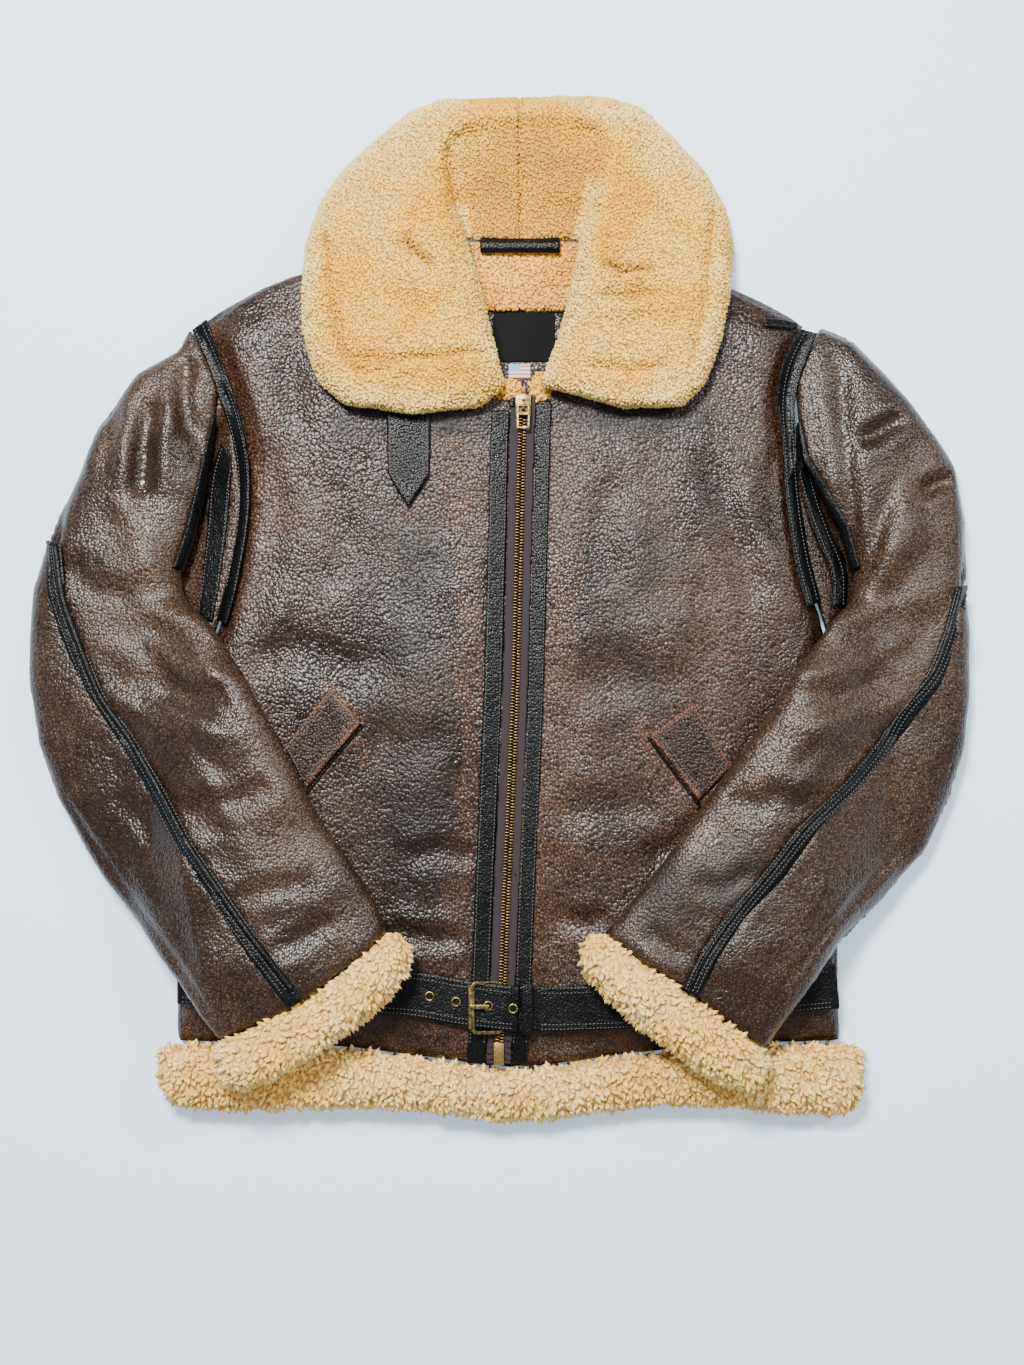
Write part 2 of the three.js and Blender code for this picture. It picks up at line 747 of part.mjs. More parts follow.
function makeHem(side) {
  const rows = hemRows(side, 17);
  const top = (x, y, u, v) => {
    const across = rounded(Math.min(u, 1 - u), 0.35, 1, 0.4);
    const end = rounded(v * 10, 0.55, 1, 1);
    return BACK_THICKNESS + 3 + (HEM_HEIGHT - BACK_THICKNESS - 3) * across * end;
  };
  const base = () => BACK_THICKNESS + 0.4;
  piece(`${side}_hem`, pad(rows, [0, 0.1, 0.28, 0.5, 0.72, 0.9, 1], top, base), "cream", 0.9);
  trim(`${side}_hem`, [`${side}_front`], BELOW_HEM);
}

function makeBackHem() {
  const half = (side) => hemRows(side, 13).slice(0, -1);
  const rows = [...half("right"), ...half("left").reverse()];
  const top = (x, y, u) => BACK_THICKNESS * rounded(Math.min(u, 1 - u), 0.75, 1, 0.3);
  piece("back_hem", pad(rows, shares(5), top, () => 0), "cream", 0.9);
  trim("back_hem", ["back_panel"], BELOW_HEM);
}

// Straps over the seams of the body, each laid on what is under it

const ARMHOLE_STRAPS = {
  right: table(
    "fromAcross fromDown toAcross toDown",
    [191, 330, 207, 318.5],
    [205, 358, 221, 358],
    [216, 390, 233, 390],
    [228, 425, 242, 425],
    [236, 460, 249, 460],
    [239, 495, 250, 495],
    [237, 530, 247, 530],
    [231, 560, 241, 565],
    [224, 590, 235, 595],
    [216, 620, 226, 625],
  ),
  left: table(
    "fromAcross fromDown toAcross toDown",
    [818, 333, 799, 328],
    [803, 370, 782, 364],
    [795, 403, 777, 400],
    [797, 437, 782, 437],
    [798, 477, 784, 477],
    [803, 515, 788, 522],
    [810, 555, 794, 560],
    [816, 580, 800, 586],
    [822, 602, 807, 608],
  ),
};
const GUSSET_STRAPS = {
  right: table(
    "fromAcross fromDown toAcross toDown",
    [222, 440, 231.5, 455],
    [211, 472, 230, 490],
    [208, 515, 228, 520],
    [204, 560, 222, 566],
    [200, 600, 215, 606],
    [200, 620, 212, 622],
  ),
  left: table(
    "fromAcross fromDown toAcross toDown",
    [799, 470, 805, 463],
    [805, 508, 818, 498],
    [820, 548, 834, 538],
    [832, 574, 848, 566],
    [832, 608, 846, 606],
  ),
};
const SHOULDER_STRAP = table(
  "fromAcross fromDown toAcross toDown",
  [764, 327, 765, 318],
  [782, 328, 783, 319],
  [797, 331, 799, 323],
);

// A flat strip that rests on the pieces named, as thick as asked.
function laidStrip(name, rows, columns, under, thick, colour, reach = 3) {
  const below = shapeOf(...under);
  const cache = new Map();
  const base = (x, y) => {
    const key = `${x} ${y}`;
    if (!cache.has(key)) cache.set(key, restOn(below, x, y, reach));
    return cache.get(key);
  };
  const top = (x, y) => base(x, y) + thick;
  piece(name, pad(rows, shares(columns), top, base), colour, 0.4);
  trim(name, under);
}

function makeBodyStraps(side) {
  const arm = ["back_panel", `${side}_front`, `${side}_gusset`, `${side}_top_sleeve`];
  const rows = spread(GUSSET_STRAPS[side], 7);
  laidStrip(`${side}_gusset_strap`, rows, 2, [`${side}_gusset`], STRAP_THICKNESS, "black");
  const edge = spread(ARMHOLE_STRAPS[side], 17);
  laidStrip(`${side}_armhole_strap`, edge, 3, arm, STRAP_THICKNESS, "black", 6);
}

// Zip: tapes and black facings on the fronts, the chain between, slider, pull tab and box

const ZIP_TOP = 396;
const ZIP_END = 1064;
const SLIDER = { down: 405, length: 18.5, width: 13, height: 4.5 };
const ARCH = { width: 2.6, length: 10, height: 5, bar: 1.5 };
const PULL = { length: 21, width: 11.5, thickness: 1.6, rim: 2, eye: 5.2 };
const CHAIN_TOP = 418;
const BOX = { top: 1043, length: 19, width: 8.5, height: 4 };

function zipStrip(name, near, far, top, end, under, thick, colour) {
  const between = FRONT_ROWS.map((row) => row.innerDown).filter((down) => down > top && down < end);
  const downs = [top, ...between, end];
  const rows = downs.map((down) => ({
    fromAcross: zipAt(down) + near,
    fromDown: down,
    toAcross: zipAt(down) + far,
    toDown: down,
  }));
  laidStrip(name, rows, 2, under, thick, colour, 2);
}

function makeZip() {
  zipStrip("right_zip_tape", -12.6, -0.6, ZIP_TOP, ZIP_END, ["right_front"], TAPE_THICKNESS, "tape");
  zipStrip("left_zip_tape", 12.6, 0.6, ZIP_TOP, ZIP_END, ["left_front"], TAPE_THICKNESS, "tape");
  zipStrip("right_zip_facing", -32, -13.2, ZIP_TOP + 14, ZIP_END, ["right_front"], 2, "black");
  zipStrip("left_zip_facing", 13.2, 28.4, ZIP_TOP + 4, ZIP_END, ["left_front"], 2, "black");
  const tapes = ["right_zip_tape", "left_zip_tape"];
  zipStrip("zip_chain", -4.2, 4.2, CHAIN_TOP, BOX.top - 0.5, tapes, CHAIN_THICKNESS, "gold");
}

// A slab of an outline in plan, centred on a place.
function plate(outline, thick, across, down, z) {
  const geometry = new THREE.ExtrudeGeometry(outline, { depth: thick, bevelEnabled: false });
  return geometry.translate(...point(across, down, z));
}

function rectangle(width, length) {
  const [w, l] = [width / 2, length / 2];
  return new THREE.Shape([[-w, -l], [w, -l], [w, l], [-w, l]].map(([x, y]) => new THREE.Vector2(x, y)));
}

function hole(width, length, y) {
  const [w, l] = [width / 2, length / 2];
  const corners = [[-w, y - l], [-w, y + l], [w, y + l], [w, y - l]];
  return new THREE.Path(corners.map(([x, z]) => new THREE.Vector2(x, z)));
}

const sliderSeat = { z: 0, across: 0 };

function makeSlider() {
  const tapes = shapeOf("right_zip_tape", "left_zip_tape");
  sliderSeat.across = zipAt(SLIDER.down);
  sliderSeat.z = restOn(tapes, sliderSeat.across, SLIDER.down, 9) + 0.2;
  const body = plate(
    rectangle(SLIDER.width, SLIDER.length),
    SLIDER.height,
    sliderSeat.across,
    SLIDER.down,
    sliderSeat.z,
  );
  const profile = new THREE.Shape([
    new THREE.Vector2(-ARCH.length / 2, -0.2),
    new THREE.Vector2(ARCH.length / 2, -0.2),
    new THREE.Vector2(ARCH.length / 2 - 1.5, ARCH.height),
    new THREE.Vector2(-ARCH.length / 2 + 1.5, ARCH.height),
  ]);
  const [windowLength, windowHeight] = [ARCH.length - 2 * ARCH.bar - 2.4, ARCH.height - ARCH.bar - 0.6];
  profile.holes.push(hole(windowLength, windowHeight, ARCH.height / 2 - 0.4));
  const arch = new THREE.ExtrudeGeometry(profile, { depth: ARCH.width, bevelEnabled: false });
  arch.translate(0, 0, -ARCH.width / 2).rotateX(Math.PI / 2).rotateZ(Math.PI / 2);
  arch.translate(...point(sliderSeat.across, SLIDER.down, sliderSeat.z + SLIDER.height));
  piece("zip_slider", join(body, arch), "brass", 0.35, 0.9);
}

function makePull() {
  const outline = rectangle(PULL.width, PULL.length);
  const window = PULL.length - PULL.eye - 3 * PULL.rim;
  const top = PULL.length / 2 - PULL.rim;
  outline.holes.push(hole(PULL.width - 2 * PULL.rim, PULL.eye, top - PULL.eye / 2));
  const lower = top - PULL.eye - PULL.rim - window / 2;
  outline.holes.push(hole(PULL.width - 2 * PULL.rim, window, lower));
  const down = SLIDER.down + (PULL.length / 2 - PULL.rim / 2) / READING;
  const height = sliderSeat.z + SLIDER.height + 1.3;
  piece("zip_pull", plate(outline, PULL.thickness, sliderSeat.across, down, height), "brass", 0.35, 0.9);
}

function makeZipBox() {
  const tapes = shapeOf("right_zip_tape", "left_zip_tape");
  const down = BOX.top + BOX.length / 2 / READING;
  const across = zipAt(down);
  const z = restOn(tapes, across, down, 5);
  piece("zip_box", plate(rectangle(BOX.width, BOX.length), BOX.height, across, down, z), "gold", 0.3, 0.9);
  trim("zip_box", ["right_zip_tape", "left_zip_tape", "zip_chain"]);
}

// Neck: hanger loop, label and flag tab on the fleece of the back, and the flap over the zip end

function makeNeck() {
  const neck = ["back_panel", "right_collar", "left_collar"];
  const loop = table(
    "fromAcross fromDown toAcross toDown",
    [480, 237, 480, 254],
    [500, 238, 500, 253],
    [520, 238, 520, 253],
    [540, 238, 540, 253],
    [560, 237, 560, 254],
  );
  const below = shapeOf(...neck);
  const level = Math.max(...loop.map((row) => restOn(below, row.fromAcross, row.fromDown, 5)));
  const rounding = (x, y, u) => level + rounded(Math.min(u, 1 - u), 1.5, 4.5, 0.4);
  piece("hanger_loop", pad(loop, shares(4), rounding, () => level), "black", 0.4);
  const label = table(
    "fromAcross fromDown toAcross toDown",
    [493, 311, 493, 362],
    [524, 311, 524, 362],
    [555, 311, 555, 362],
  );
  laidStrip("neck_label", label, 3, ["back_panel"], 1.2, "label");
  const tab = table(
    "fromAcross fromDown toAcross toDown",
    [508.5, 363.5, 508.5, 379],
    [530.5, 363.5, 530.5, 379],
  );
  laidStrip("flag_tab", tab, 2, ["back_panel"], 1, "flag");
  const flap = table(
    "fromAcross fromDown toAcross toDown",
    [509, 398, 509, 407],
    [514.5, 398, 514.5, 407],
  );
  laidStrip("zip_stop_flap", flap, 2, ["right_front", "right_zip_tape"], 1.5, "tape");
}

// Throat tab and pocket welts on the fronts

const THROAT_TAB = table(
  "fromAcross fromDown toAcross toDown",
  [386.5, 408, 430.5, 408],
  [387, 440, 430, 440],
  [388, 474, 429, 474],
  [399, 492, 417, 492],
  [406.5, 506, 409, 506],
);
const WELTS = {
  right: table(
    "fromAcross fromDown toAcross toDown",
    [331, 688, 361, 723],
    [305, 720, 331, 758],
    [284, 747, 306, 788],
  ),
  left: table(
    "fromAcross fromDown toAcross toDown",
    [650, 735, 695, 703],
    [677, 771, 714, 735],
    [698, 800, 733, 765],
  ),
};

function makeTabAndWelts() {
  laidStrip("throat_tab", spread(THROAT_TAB, 7), 3, ["right_front"], 2.6, "black");
  for (const side of ["right", "left"])
    laidStrip(`${side}_pocket_welt`, spread(WELTS[side], 5), 3, [`${side}_front`], 3, "hide");
}

// Belt: the eyelet strap from the right side through the buckle, and the strap it fastens to

const TONGUE_END = 519;
const LAP_START = 508;
const BUCKLE = { across: 486.5, down: 1008, width: 31.5, length: 44.6, thickness: 2.6, bar: 5 };
const KEEPER = { across: 527.5, width: 9, wall: 1.3, clearance: 0.7 };
const EYELETS = [429.5, 456, 488, 513];
const EYELET = { outer: 4.9, inner: 2.4, height: 1.3 };
const PRONG = { width: 3.4, thickness: 2.2 };

// The belt's centre line between two places across, as rows with its two edges.
function beltRows(from, to, count, half = BELT_WIDTH / 2 / READING) {
  return shares(count).map((share) => {
    const across = mix(from, to, share);
    const down = lookUp(BELT_LINE, "across", across, "down");
    const slope = down - lookUp(BELT_LINE, "across", across - 8, "down");
    const lean = (slope / 8) * half;
    return { fromAcross: across + lean, fromDown: down - half, toAcross: across - lean, toDown: down + half };
  });
}

// The height of the belt's underside: flat across its width, on the front and the zip.
function beltRest(across) {
  const below = shapeOf("right_front", "left_front", "right_zip_tape", "left_zip_tape");
  const more = shapeOf("right_zip_facing", "left_zip_facing", "zip_chain");
  const down = lookUp(BELT_LINE, "across", across, "down");
  const places = [-24, -12, 0, 12, 24].map((off) => restOn([...below, ...more], across, down + off, 8));
  return Math.max(...places);
}

const lapLift = (across) => (BELT_THICKNESS + SEAM_GAP) * step(466, 500, across);

function beltStrap(name, rows, lift) {
  const levels = rows.map((row) => {
    const middle = (row.fromAcross + row.toAcross) / 2;
    return beltRest(middle) + lift(middle);
  });
  const base = (x, y, u, v) => levels[Math.round(v * (rows.length - 1))];
  const top = (x, y, u, v) => base(x, y, u, v) + BELT_THICKNESS;
  piece(name, pad(rows, shares(3), top, base), "black", 0.4);
  trim(name, ["right_front", "left_front", "right_zip_facing", "left_zip_facing", "zip_chain"]);
}

function makeBelt() {
  beltStrap("belt_right", beltRows(177, TONGUE_END, 25), lapLift);
  beltStrap("belt_left", beltRows(LAP_START, 838, 21), () => 0);
  const straps = shapeOf("belt_right", "belt_left");
  for (const [i, across] of EYELETS.entries()) {
    const down = lookUp(BELT_LINE, "across", across, "down");
    const z = restOn(straps, across, down, EYELET.outer);
    const profile = [
      [EYELET.inner, 0],
      [EYELET.outer, 0],
      [EYELET.outer - 0.8, EYELET.height],
      [EYELET.inner + 0.5, EYELET.height],
      [EYELET.inner, 0],
    ].map(([r, h]) => new THREE.Vector2(r, h));
    const ring = new THREE.LatheGeometry(profile, 14).rotateX(Math.PI / 2);
    piece(`belt_eyelet_${i + 1}`, ring.translate(...point(across, down, z)), "brass", 0.35, 0.9);
  }
}

// Buckle: a frame with cut corners round the strap, its prong through the third eyelet

function cutCorners(width, length, corner) {
  const [w, l, c] = [width / 2, length / 2, corner];
  const corners = [
    [-w, -l + c], [-w + c, -l], [w - c, -l], [w, -l + c],
    [w, l - c], [w - c, l], [-w + c, l], [-w, l - c],
  ];
  return corners.map(([x, y]) => new THREE.Vector2(x, y));
}

function makeBuckle() {
  const { across, down, width, length, thickness, bar } = BUCKLE;
  const outline = new THREE.Shape(cutCorners(width, length, 5));
  const inside = cutCorners(width - 2 * bar, length - 2 * bar + 4.8, 1.5);
  outline.holes.push(new THREE.Path(inside.reverse()));
  const frame = new THREE.ExtrudeGeometry(outline, { depth: thickness, bevelEnabled: false });
  const reach = width / 2 / READING;
  const high = restOn(shapeOf("belt_right"), across - reach + 4, down, 6) + SEAM_GAP;
  const low = beltRest(across + reach - 3);
  frame.rotateY(Math.asin((high - low) / (width - bar)));
  frame.translate(...point(across, down, (high + low) / 2));
  piece("buckle_frame", frame, "brass", 0.35, 0.9);
  for (const move of [ABOVE, [0, 0, -SEAM_GAP], [SEAM_GAP, 0, 0], [-SEAM_GAP, 0, 0]])
    trim("buckle_frame", ["belt_right", "belt_left", "belt_eyelet_3"], move);
}

function makeProng() {
  const over = shapeOf("buckle_frame", "belt_right", "belt_eyelet_3");
  const rows = table(
    "across up",
    [470, 0],
    [478, 0],
    [489, 0],
  ).map((row) => ({
    fromAcross: row.across,
    fromDown: 1007 - PRONG.width / 2 / READING,
    toAcross: row.across,
    toDown: 1007 + PRONG.width / 2 / READING,
  }));
  const base = (x, y) => restOn(over, x, y, 3);
  piece("buckle_prong", pad(rows, [0, 1], (x, y) => base(x, y) + PRONG.thickness, base), "brass", 0.35, 0.9);
  trim("buckle_prong", ["buckle_frame", "belt_right", "belt_eyelet_3"]);
}

function makeKeeper() {
  const down = lookUp(BELT_LINE, "across", KEEPER.across, "down");
  const low = beltRest(KEEPER.across);
  const inner = BELT_WIDTH / 2 + KEEPER.clearance;
  const height = BELT_THICKNESS * 2 + SEAM_GAP + KEEPER.clearance;
  const [w, h, t] = [inner + KEEPER.wall, height + KEEPER.wall, KEEPER.wall];
  const cut = t / 2;
  const corners = [
    [-w, 0], [-inner, 0], [-inner, height], [inner, height], [inner, 0], [w, 0],
    [w, h - cut], [w - cut, h], [-w + cut, h], [-w, h - cut],
  ];
  const arch = new THREE.Shape(corners.map(([x, y]) => new THREE.Vector2(x, y)));
  const band = new THREE.ExtrudeGeometry(arch, { depth: KEEPER.width, bevelEnabled: false });
  band.translate(0, 0, -KEEPER.width / 2).rotateX(Math.PI / 2).rotateZ(Math.PI / 2);
  piece("belt_keeper", band.translate(...point(KEEPER.across, down, low)), "black", 0.4);
}

// Putting it together

makeBack();
makeBackHem();
for (const side of ["right", "left"]) {
  makeFront(side);
  makeGusset(side);
  makeHem(side);
}
makeZip();
makeSlider();
makePull();
makeZipBox();
makeTabAndWelts();
makeBelt();
makeBuckle();
makeProng();
makeKeeper();
for (const side of ["right", "left"]) {
  makeSleeve(side);
  makeSleeveStraps(side);
  makeCuff(side);
  makeBodyStraps(side);
  makeCollar(side);
}
laidStrip("left_shoulder_strap", SHOULDER_STRAP, 2, ["left_front", "left_top_sleeve"], 2, "black");
makeNeck();

// The eye sees a point at a height nearer the middle of the view than its reading says.
function seenFromAbove(geometry) {
  const p = geometry.attributes.position;
  for (let i = 0; i < p.count; i += 1) {
    const nearer = 1 - p.getZ(i) / EYE.height;
    p.setXY(i, p.getX(i) * nearer, p.getY(i) * nearer);
  }
  return geometry;
}

const jacket = new THREE.Group();
for (const [name, { geometry, look }] of pieces) {
  const mesh = new THREE.Mesh(seenFromAbove(geometry), new THREE.MeshStandardMaterial(look));
  mesh.name = name;
  jacket.add(mesh);
}
const box = new THREE.Box3().setFromObject(jacket);
const middle = box.getCenter(new THREE.Vector3());
jacket.children.forEach((mesh) => mesh.position.set(-middle.x, -middle.y, -box.min.z));

export default jacket;
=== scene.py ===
import bpy
import bmesh
import math
import numpy as np
from mathutils import Matrix, Vector, noise
from mathutils.bvhtree import BVHTree


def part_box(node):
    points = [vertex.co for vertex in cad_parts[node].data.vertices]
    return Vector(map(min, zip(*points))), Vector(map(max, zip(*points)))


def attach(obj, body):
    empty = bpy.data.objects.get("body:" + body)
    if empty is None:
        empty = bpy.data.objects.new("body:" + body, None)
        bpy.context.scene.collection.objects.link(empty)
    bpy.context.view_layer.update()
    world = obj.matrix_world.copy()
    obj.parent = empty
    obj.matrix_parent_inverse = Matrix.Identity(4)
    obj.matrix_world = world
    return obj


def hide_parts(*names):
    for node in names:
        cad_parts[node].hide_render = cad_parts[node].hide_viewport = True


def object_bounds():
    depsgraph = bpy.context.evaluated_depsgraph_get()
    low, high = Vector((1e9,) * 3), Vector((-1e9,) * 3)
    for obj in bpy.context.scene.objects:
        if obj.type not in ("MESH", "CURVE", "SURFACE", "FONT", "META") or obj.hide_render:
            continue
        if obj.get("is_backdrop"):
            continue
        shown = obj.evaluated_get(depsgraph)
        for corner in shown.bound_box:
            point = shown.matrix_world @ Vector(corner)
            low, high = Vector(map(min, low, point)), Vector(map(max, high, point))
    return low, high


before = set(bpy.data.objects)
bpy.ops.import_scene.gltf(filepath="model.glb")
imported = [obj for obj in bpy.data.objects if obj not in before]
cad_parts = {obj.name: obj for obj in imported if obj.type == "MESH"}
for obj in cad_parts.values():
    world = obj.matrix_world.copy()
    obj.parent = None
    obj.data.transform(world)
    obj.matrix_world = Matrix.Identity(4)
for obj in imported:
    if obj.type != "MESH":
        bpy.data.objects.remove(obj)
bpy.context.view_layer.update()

# The view and the table
# The jacket lies on its back on a pale, smooth surface and is looked at from straight above,
# from 1.6 m over it. A place on it is given as (across, down), counted in steps of 0.85 mm
# on that surface as the eye sees them from the upper left of its view.
EYE = Vector((0.010913, -0.063069, 1.6))
STEP = 0.00084977
MIDDLE = (512.0, 682.5)

camera = bpy.data.objects.new("camera", bpy.data.cameras.new("camera"))
camera.data.sensor_width = 36
camera.data.lens = 49.66
camera.data.clip_end = 20
camera.location = EYE
bpy.context.collection.objects.link(camera)
bpy.context.scene.camera = camera


def fill(tree, node, inputs):
    """Values or links put on a node's sockets."""
    for key, value in dict(inputs).items():
        if isinstance(value, bpy.types.NodeSocket):
            tree.links.new(value, node.inputs[key])
        else:
            node.inputs[key].default_value = value


def add(tree, kind, inputs=(), **settings):
    """A node of one kind, with its settings and with values or links on its sockets."""
    made = tree.nodes.new(kind)
    for key, value in settings.items():
        setattr(made, key, value)
    fill(tree, made, inputs)
    return made


def new_material(name):
    """A material, its tree, its shader, and the place on the object that its patterns follow."""
    material = bpy.data.materials.new(name)
    material.use_nodes = True
    tree = material.node_tree
    place = add(tree, "ShaderNodeTexCoord").outputs["Object"]
    return material, tree, tree.nodes["Principled BSDF"], place


def grain(tree, place, scale, detail, rough=0.5):
    """An uneven, cloudy pattern."""
    return add(tree, "ShaderNodeTexNoise", {"Vector": place, "Scale": scale, "Detail": detail,
                                            "Roughness": rough}).outputs[0]


def maths(tree, operation, a, b=0.0, c=0.0, clamp=False):
    """One sum on two or three values or links."""
    return add(tree, "ShaderNodeMath", {0: a, 1: b, 2: c},
               operation=operation, use_clamp=clamp).outputs[0]


def between(tree, share, low, high, from_low=0.0, from_high=1.0):
    """A value spread from one range to another, smoothly."""
    return add(tree, "ShaderNodeMapRange", {0: share, 1: from_low, 2: from_high, 3: low, 4: high},
               interpolation_type="SMOOTHSTEP").outputs[0]


def blended(tree, share, first, second, kind="MIX"):
    """Two colours or links mixed by a share."""
    first, second = ((*c, 1) if isinstance(c, tuple) else c for c in (first, second))
    return add(tree, "ShaderNodeMix", {0: share, 6: first, 7: second},
               data_type="RGBA", blend_type=kind).outputs[2]


def linked(obj):
    """An object put into the scene."""
    bpy.context.collection.objects.link(obj)
    return obj


def shown(name, solid):
    """A bmesh made an object of the scene."""
    piece = linked(bpy.data.objects.new(name, bpy.data.meshes.new(name)))
    solid.to_mesh(piece.data)
    solid.free()
    return piece


top = bmesh.new()
bmesh.ops.create_grid(top, x_segments=2, y_segments=2, size=4)
bmesh.ops.translate(top, verts=top.verts, vec=(0, 0, -0.0006))
table = shown("table_top", top)
paper, tree, shader, place = new_material("pale_paper")
fill(tree, shader, {
    "Base Color": blended(tree, grain(tree, place, 3.0, 2.0), (0.72, 0.85, 1.0), (0.74, 0.865, 1.0)),
    "Roughness": 0.85,
    "Emission Color": (0.52, 0.76, 1.0, 1),
    "Emission Strength": 0.34,
})
table.data.materials.append(paper)
table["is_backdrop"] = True

world = bpy.data.worlds.new("room")
world.use_nodes = True
world.node_tree.nodes["Background"].inputs[0].default_value = (0.84, 0.91, 1.0, 1)
world.node_tree.nodes["Background"].inputs[1].default_value = 0.36
bpy.context.scene.world = world
for name, spot, size, power, tint, mirrored in (
    ("window", (-0.42, 0.98, 2.1), (0.5, 0.4), 132, (1.0, 0.985, 0.96), True),
    ("ceiling", (0.1, -0.6, 2.9), (2.6, 2.6), 32, (0.97, 0.985, 1.0), False),
    ("far_window", (1.3, 0.7, 1.6), (0.35, 0.4), 22, (1.0, 0.99, 0.97), True),
):
    light = bpy.data.lights.new(name, "AREA")
    light.shape = "RECTANGLE"
    light.size, light.size_y = size
    light.energy = power
    light.color = tint
    lamp = linked(bpy.data.objects.new(name, light))
    lamp.location = spot
    lamp.visible_glossy = mirrored
    lamp.rotation_mode = "QUATERNION"
    lamp.rotation_quaternion = (Vector((0, -0.05, 0)) - Vector(spot)).to_track_quat("-Z", "Y")

# The back
# The back is one sheepskin panel, hide outwards and fleece inwards, and it lies under all the
# rest. Its hide is dyed brown, sealed with a gloss and pebbled, and is worn redder at the edges.


def baked(piece):
    """The piece with its modifiers worked into its mesh."""
    view = bpy.context.evaluated_depsgraph_get()
    shape = bpy.data.meshes.new_from_object(piece.evaluated_get(view))
    piece.modifiers.clear()
    piece.data = shape
    return piece


def skin_over(name, node, grid, rounds, keep=1.0):
    """A closed skin over a solid, divided evenly, softened, and thinned to a share of its faces."""
    solid = bmesh.new()
    solid.from_mesh(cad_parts[node].data)
    bmesh.ops.remove_doubles(solid, verts=solid.verts, dist=0.00002)
    piece = shown(name, solid)
    even = piece.modifiers.new("even", "REMESH")
    even.mode = "VOXEL"
    even.voxel_size = grid
    soft = piece.modifiers.new("soft", "SMOOTH")
    soft.factor = 0.5
    soft.iterations = rounds
    if keep < 1:
        fewer = piece.modifiers.new("fewer", "DECIMATE")
        fewer.ratio = keep
    baked(piece)
    piece.data.name = name
    piece.data.materials.clear()
    piece.data.shade_smooth()
    return piece


def fitted(piece, node, material):
    """The piece in its material, shown in place of its solid, as a part of the jacket."""
    piece.data.materials.append(material)
    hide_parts(node)
    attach(piece, "jacket")
    return piece


def spots(piece):
    """The points of a mesh and their outward directions, as rows of three."""
    count = len(piece.data.vertices)
    points, outward = np.empty(count * 3, np.float32), np.empty(count * 3, np.float32)
    piece.data.vertices.foreach_get("co", points)
    piece.data.vertex_normals.foreach_get("vector", outward)
    return points.reshape(-1, 3).astype(float), outward.reshape(-1, 3).astype(float)


def moved_to(piece, points):
    """The piece with its points moved, and lifted onto the table where they fall below it."""
    points[:, 2] = np.maximum(points[:, 2], 0)
    piece.data.vertices.foreach_set("co", points.astype(np.float32).ravel())
    piece.data.update()
    return piece


def seen_at(points):
    """Where the eye sees each point: its (across, down)."""
    near = STEP * (1 - points[:, 2] / EYE.z)
    return np.stack([MIDDLE[0] + (points[:, 0] - EYE.x) / near,
                     MIDDLE[1] - (points[:, 1] - EYE.y) / near], 1)


def along(places, line):
    """How far each place is from a line of places, and what share of the line lies before it."""
    line = np.array(line, float)
    steps = np.linalg.norm(np.diff(line, axis=0), axis=1)
    before = np.concatenate([[0], np.cumsum(steps)])
    far, share = np.full(len(places), 1e9), np.zeros(len(places))
    for i, length in enumerate(steps):
        way = (line[i + 1] - line[i]) / length
        reach = np.clip((places - line[i]) @ way, 0, length)
        away = np.linalg.norm(places - line[i] - reach[:, None] * way, axis=1)
        near = away < far
        far[near] = away[near]
        share[near] = (before[i] + reach[near]) / before[-1]
    return far, share


def pressed(piece, creases, facing=1):
    """Presses soft troughs, or ridges where the depth is negative, into the side that faces up (1)
    or down (-1). Each crease is (line, depth in mm, half width in steps) and fades at both ends."""
    points, outward = spots(piece)
    places = seen_at(points) if facing > 0 else points[:, :2] * 1000
    up = np.clip(outward[:, 2] * facing * 1.6, 0, 1)
    moved = np.zeros(len(points))
    for line, depth, wide in creases:
        far, share = along(places, line)
        ends = np.clip(np.minimum(share, 1 - share) / 0.22 + 0.12, 0, 1)
        ends = ends * ends * (3 - 2 * ends)
        trough = np.exp(-((far / wide) ** 2))
        shoulder = 0.28 * np.exp(-(((far - 1.9 * wide) / (0.9 * wide)) ** 2))
        moved -= 1.7 * depth / 1000 * ends * (trough - shoulder)
    points += outward * (moved * up)[:, None]
    return moved_to(piece, points)


def rumpled(piece, size, depth, seed, low=-1.0, run=1.0, sunk=0.0):
    """Slow, uneven swells over the whole piece, of a size and a depth in mm. A run below 1 draws
    them out into folds up and down the jacket, and sunk shifts them all inwards."""
    points, outward = spots(piece)
    shift = Vector((seed * 3.7, seed * 1.9, seed * 0.7))
    swell = np.array([noise.noise(Vector((p[0], p[1] * run, p[2])) * (1000 / size) + shift)
                      for p in points])
    keep = np.clip((outward[:, 2] - low) * 4, 0, 1)
    points += outward * ((swell - sunk) * keep * depth / 1000)[:, None]
    return moved_to(piece, points)


def marked(piece, name, lines, seed=1, patchy=0.9):
    """Marks each point from -1 to 1 near lines of (places, half width in steps, strength)."""
    points, outward = spots(piece)
    places = seen_at(points)
    mark = np.zeros(len(points))
    for line, wide, strength in lines:
        far, share = along(places, line)
        near = strength * np.exp(-((far / wide) ** 2))
        mark = np.where(np.abs(near) > np.abs(mark), near, mark)
    swell = np.array([noise.noise(Vector(p) * 45 + Vector((seed, 0, 0))) for p in points])
    mark = np.clip(mark * (1 - 0.15 * patchy + patchy * swell), -1, 1)
    layer = piece.data.attributes.new(name, "FLOAT", "POINT")
    layer.data.foreach_set("value", mark.astype(np.float32))
    return piece


def painted(tree, name):
    """The value that the points of a piece carry under a name."""
    return add(tree, "ShaderNodeAttribute", attribute_name=name).outputs["Fac"]


def vectors(tree, operation, a, b):
    """One sum on two directions or places."""
    return add(tree, "ShaderNodeVectorMath", {0: a, 1: b}, operation=operation).outputs[0]


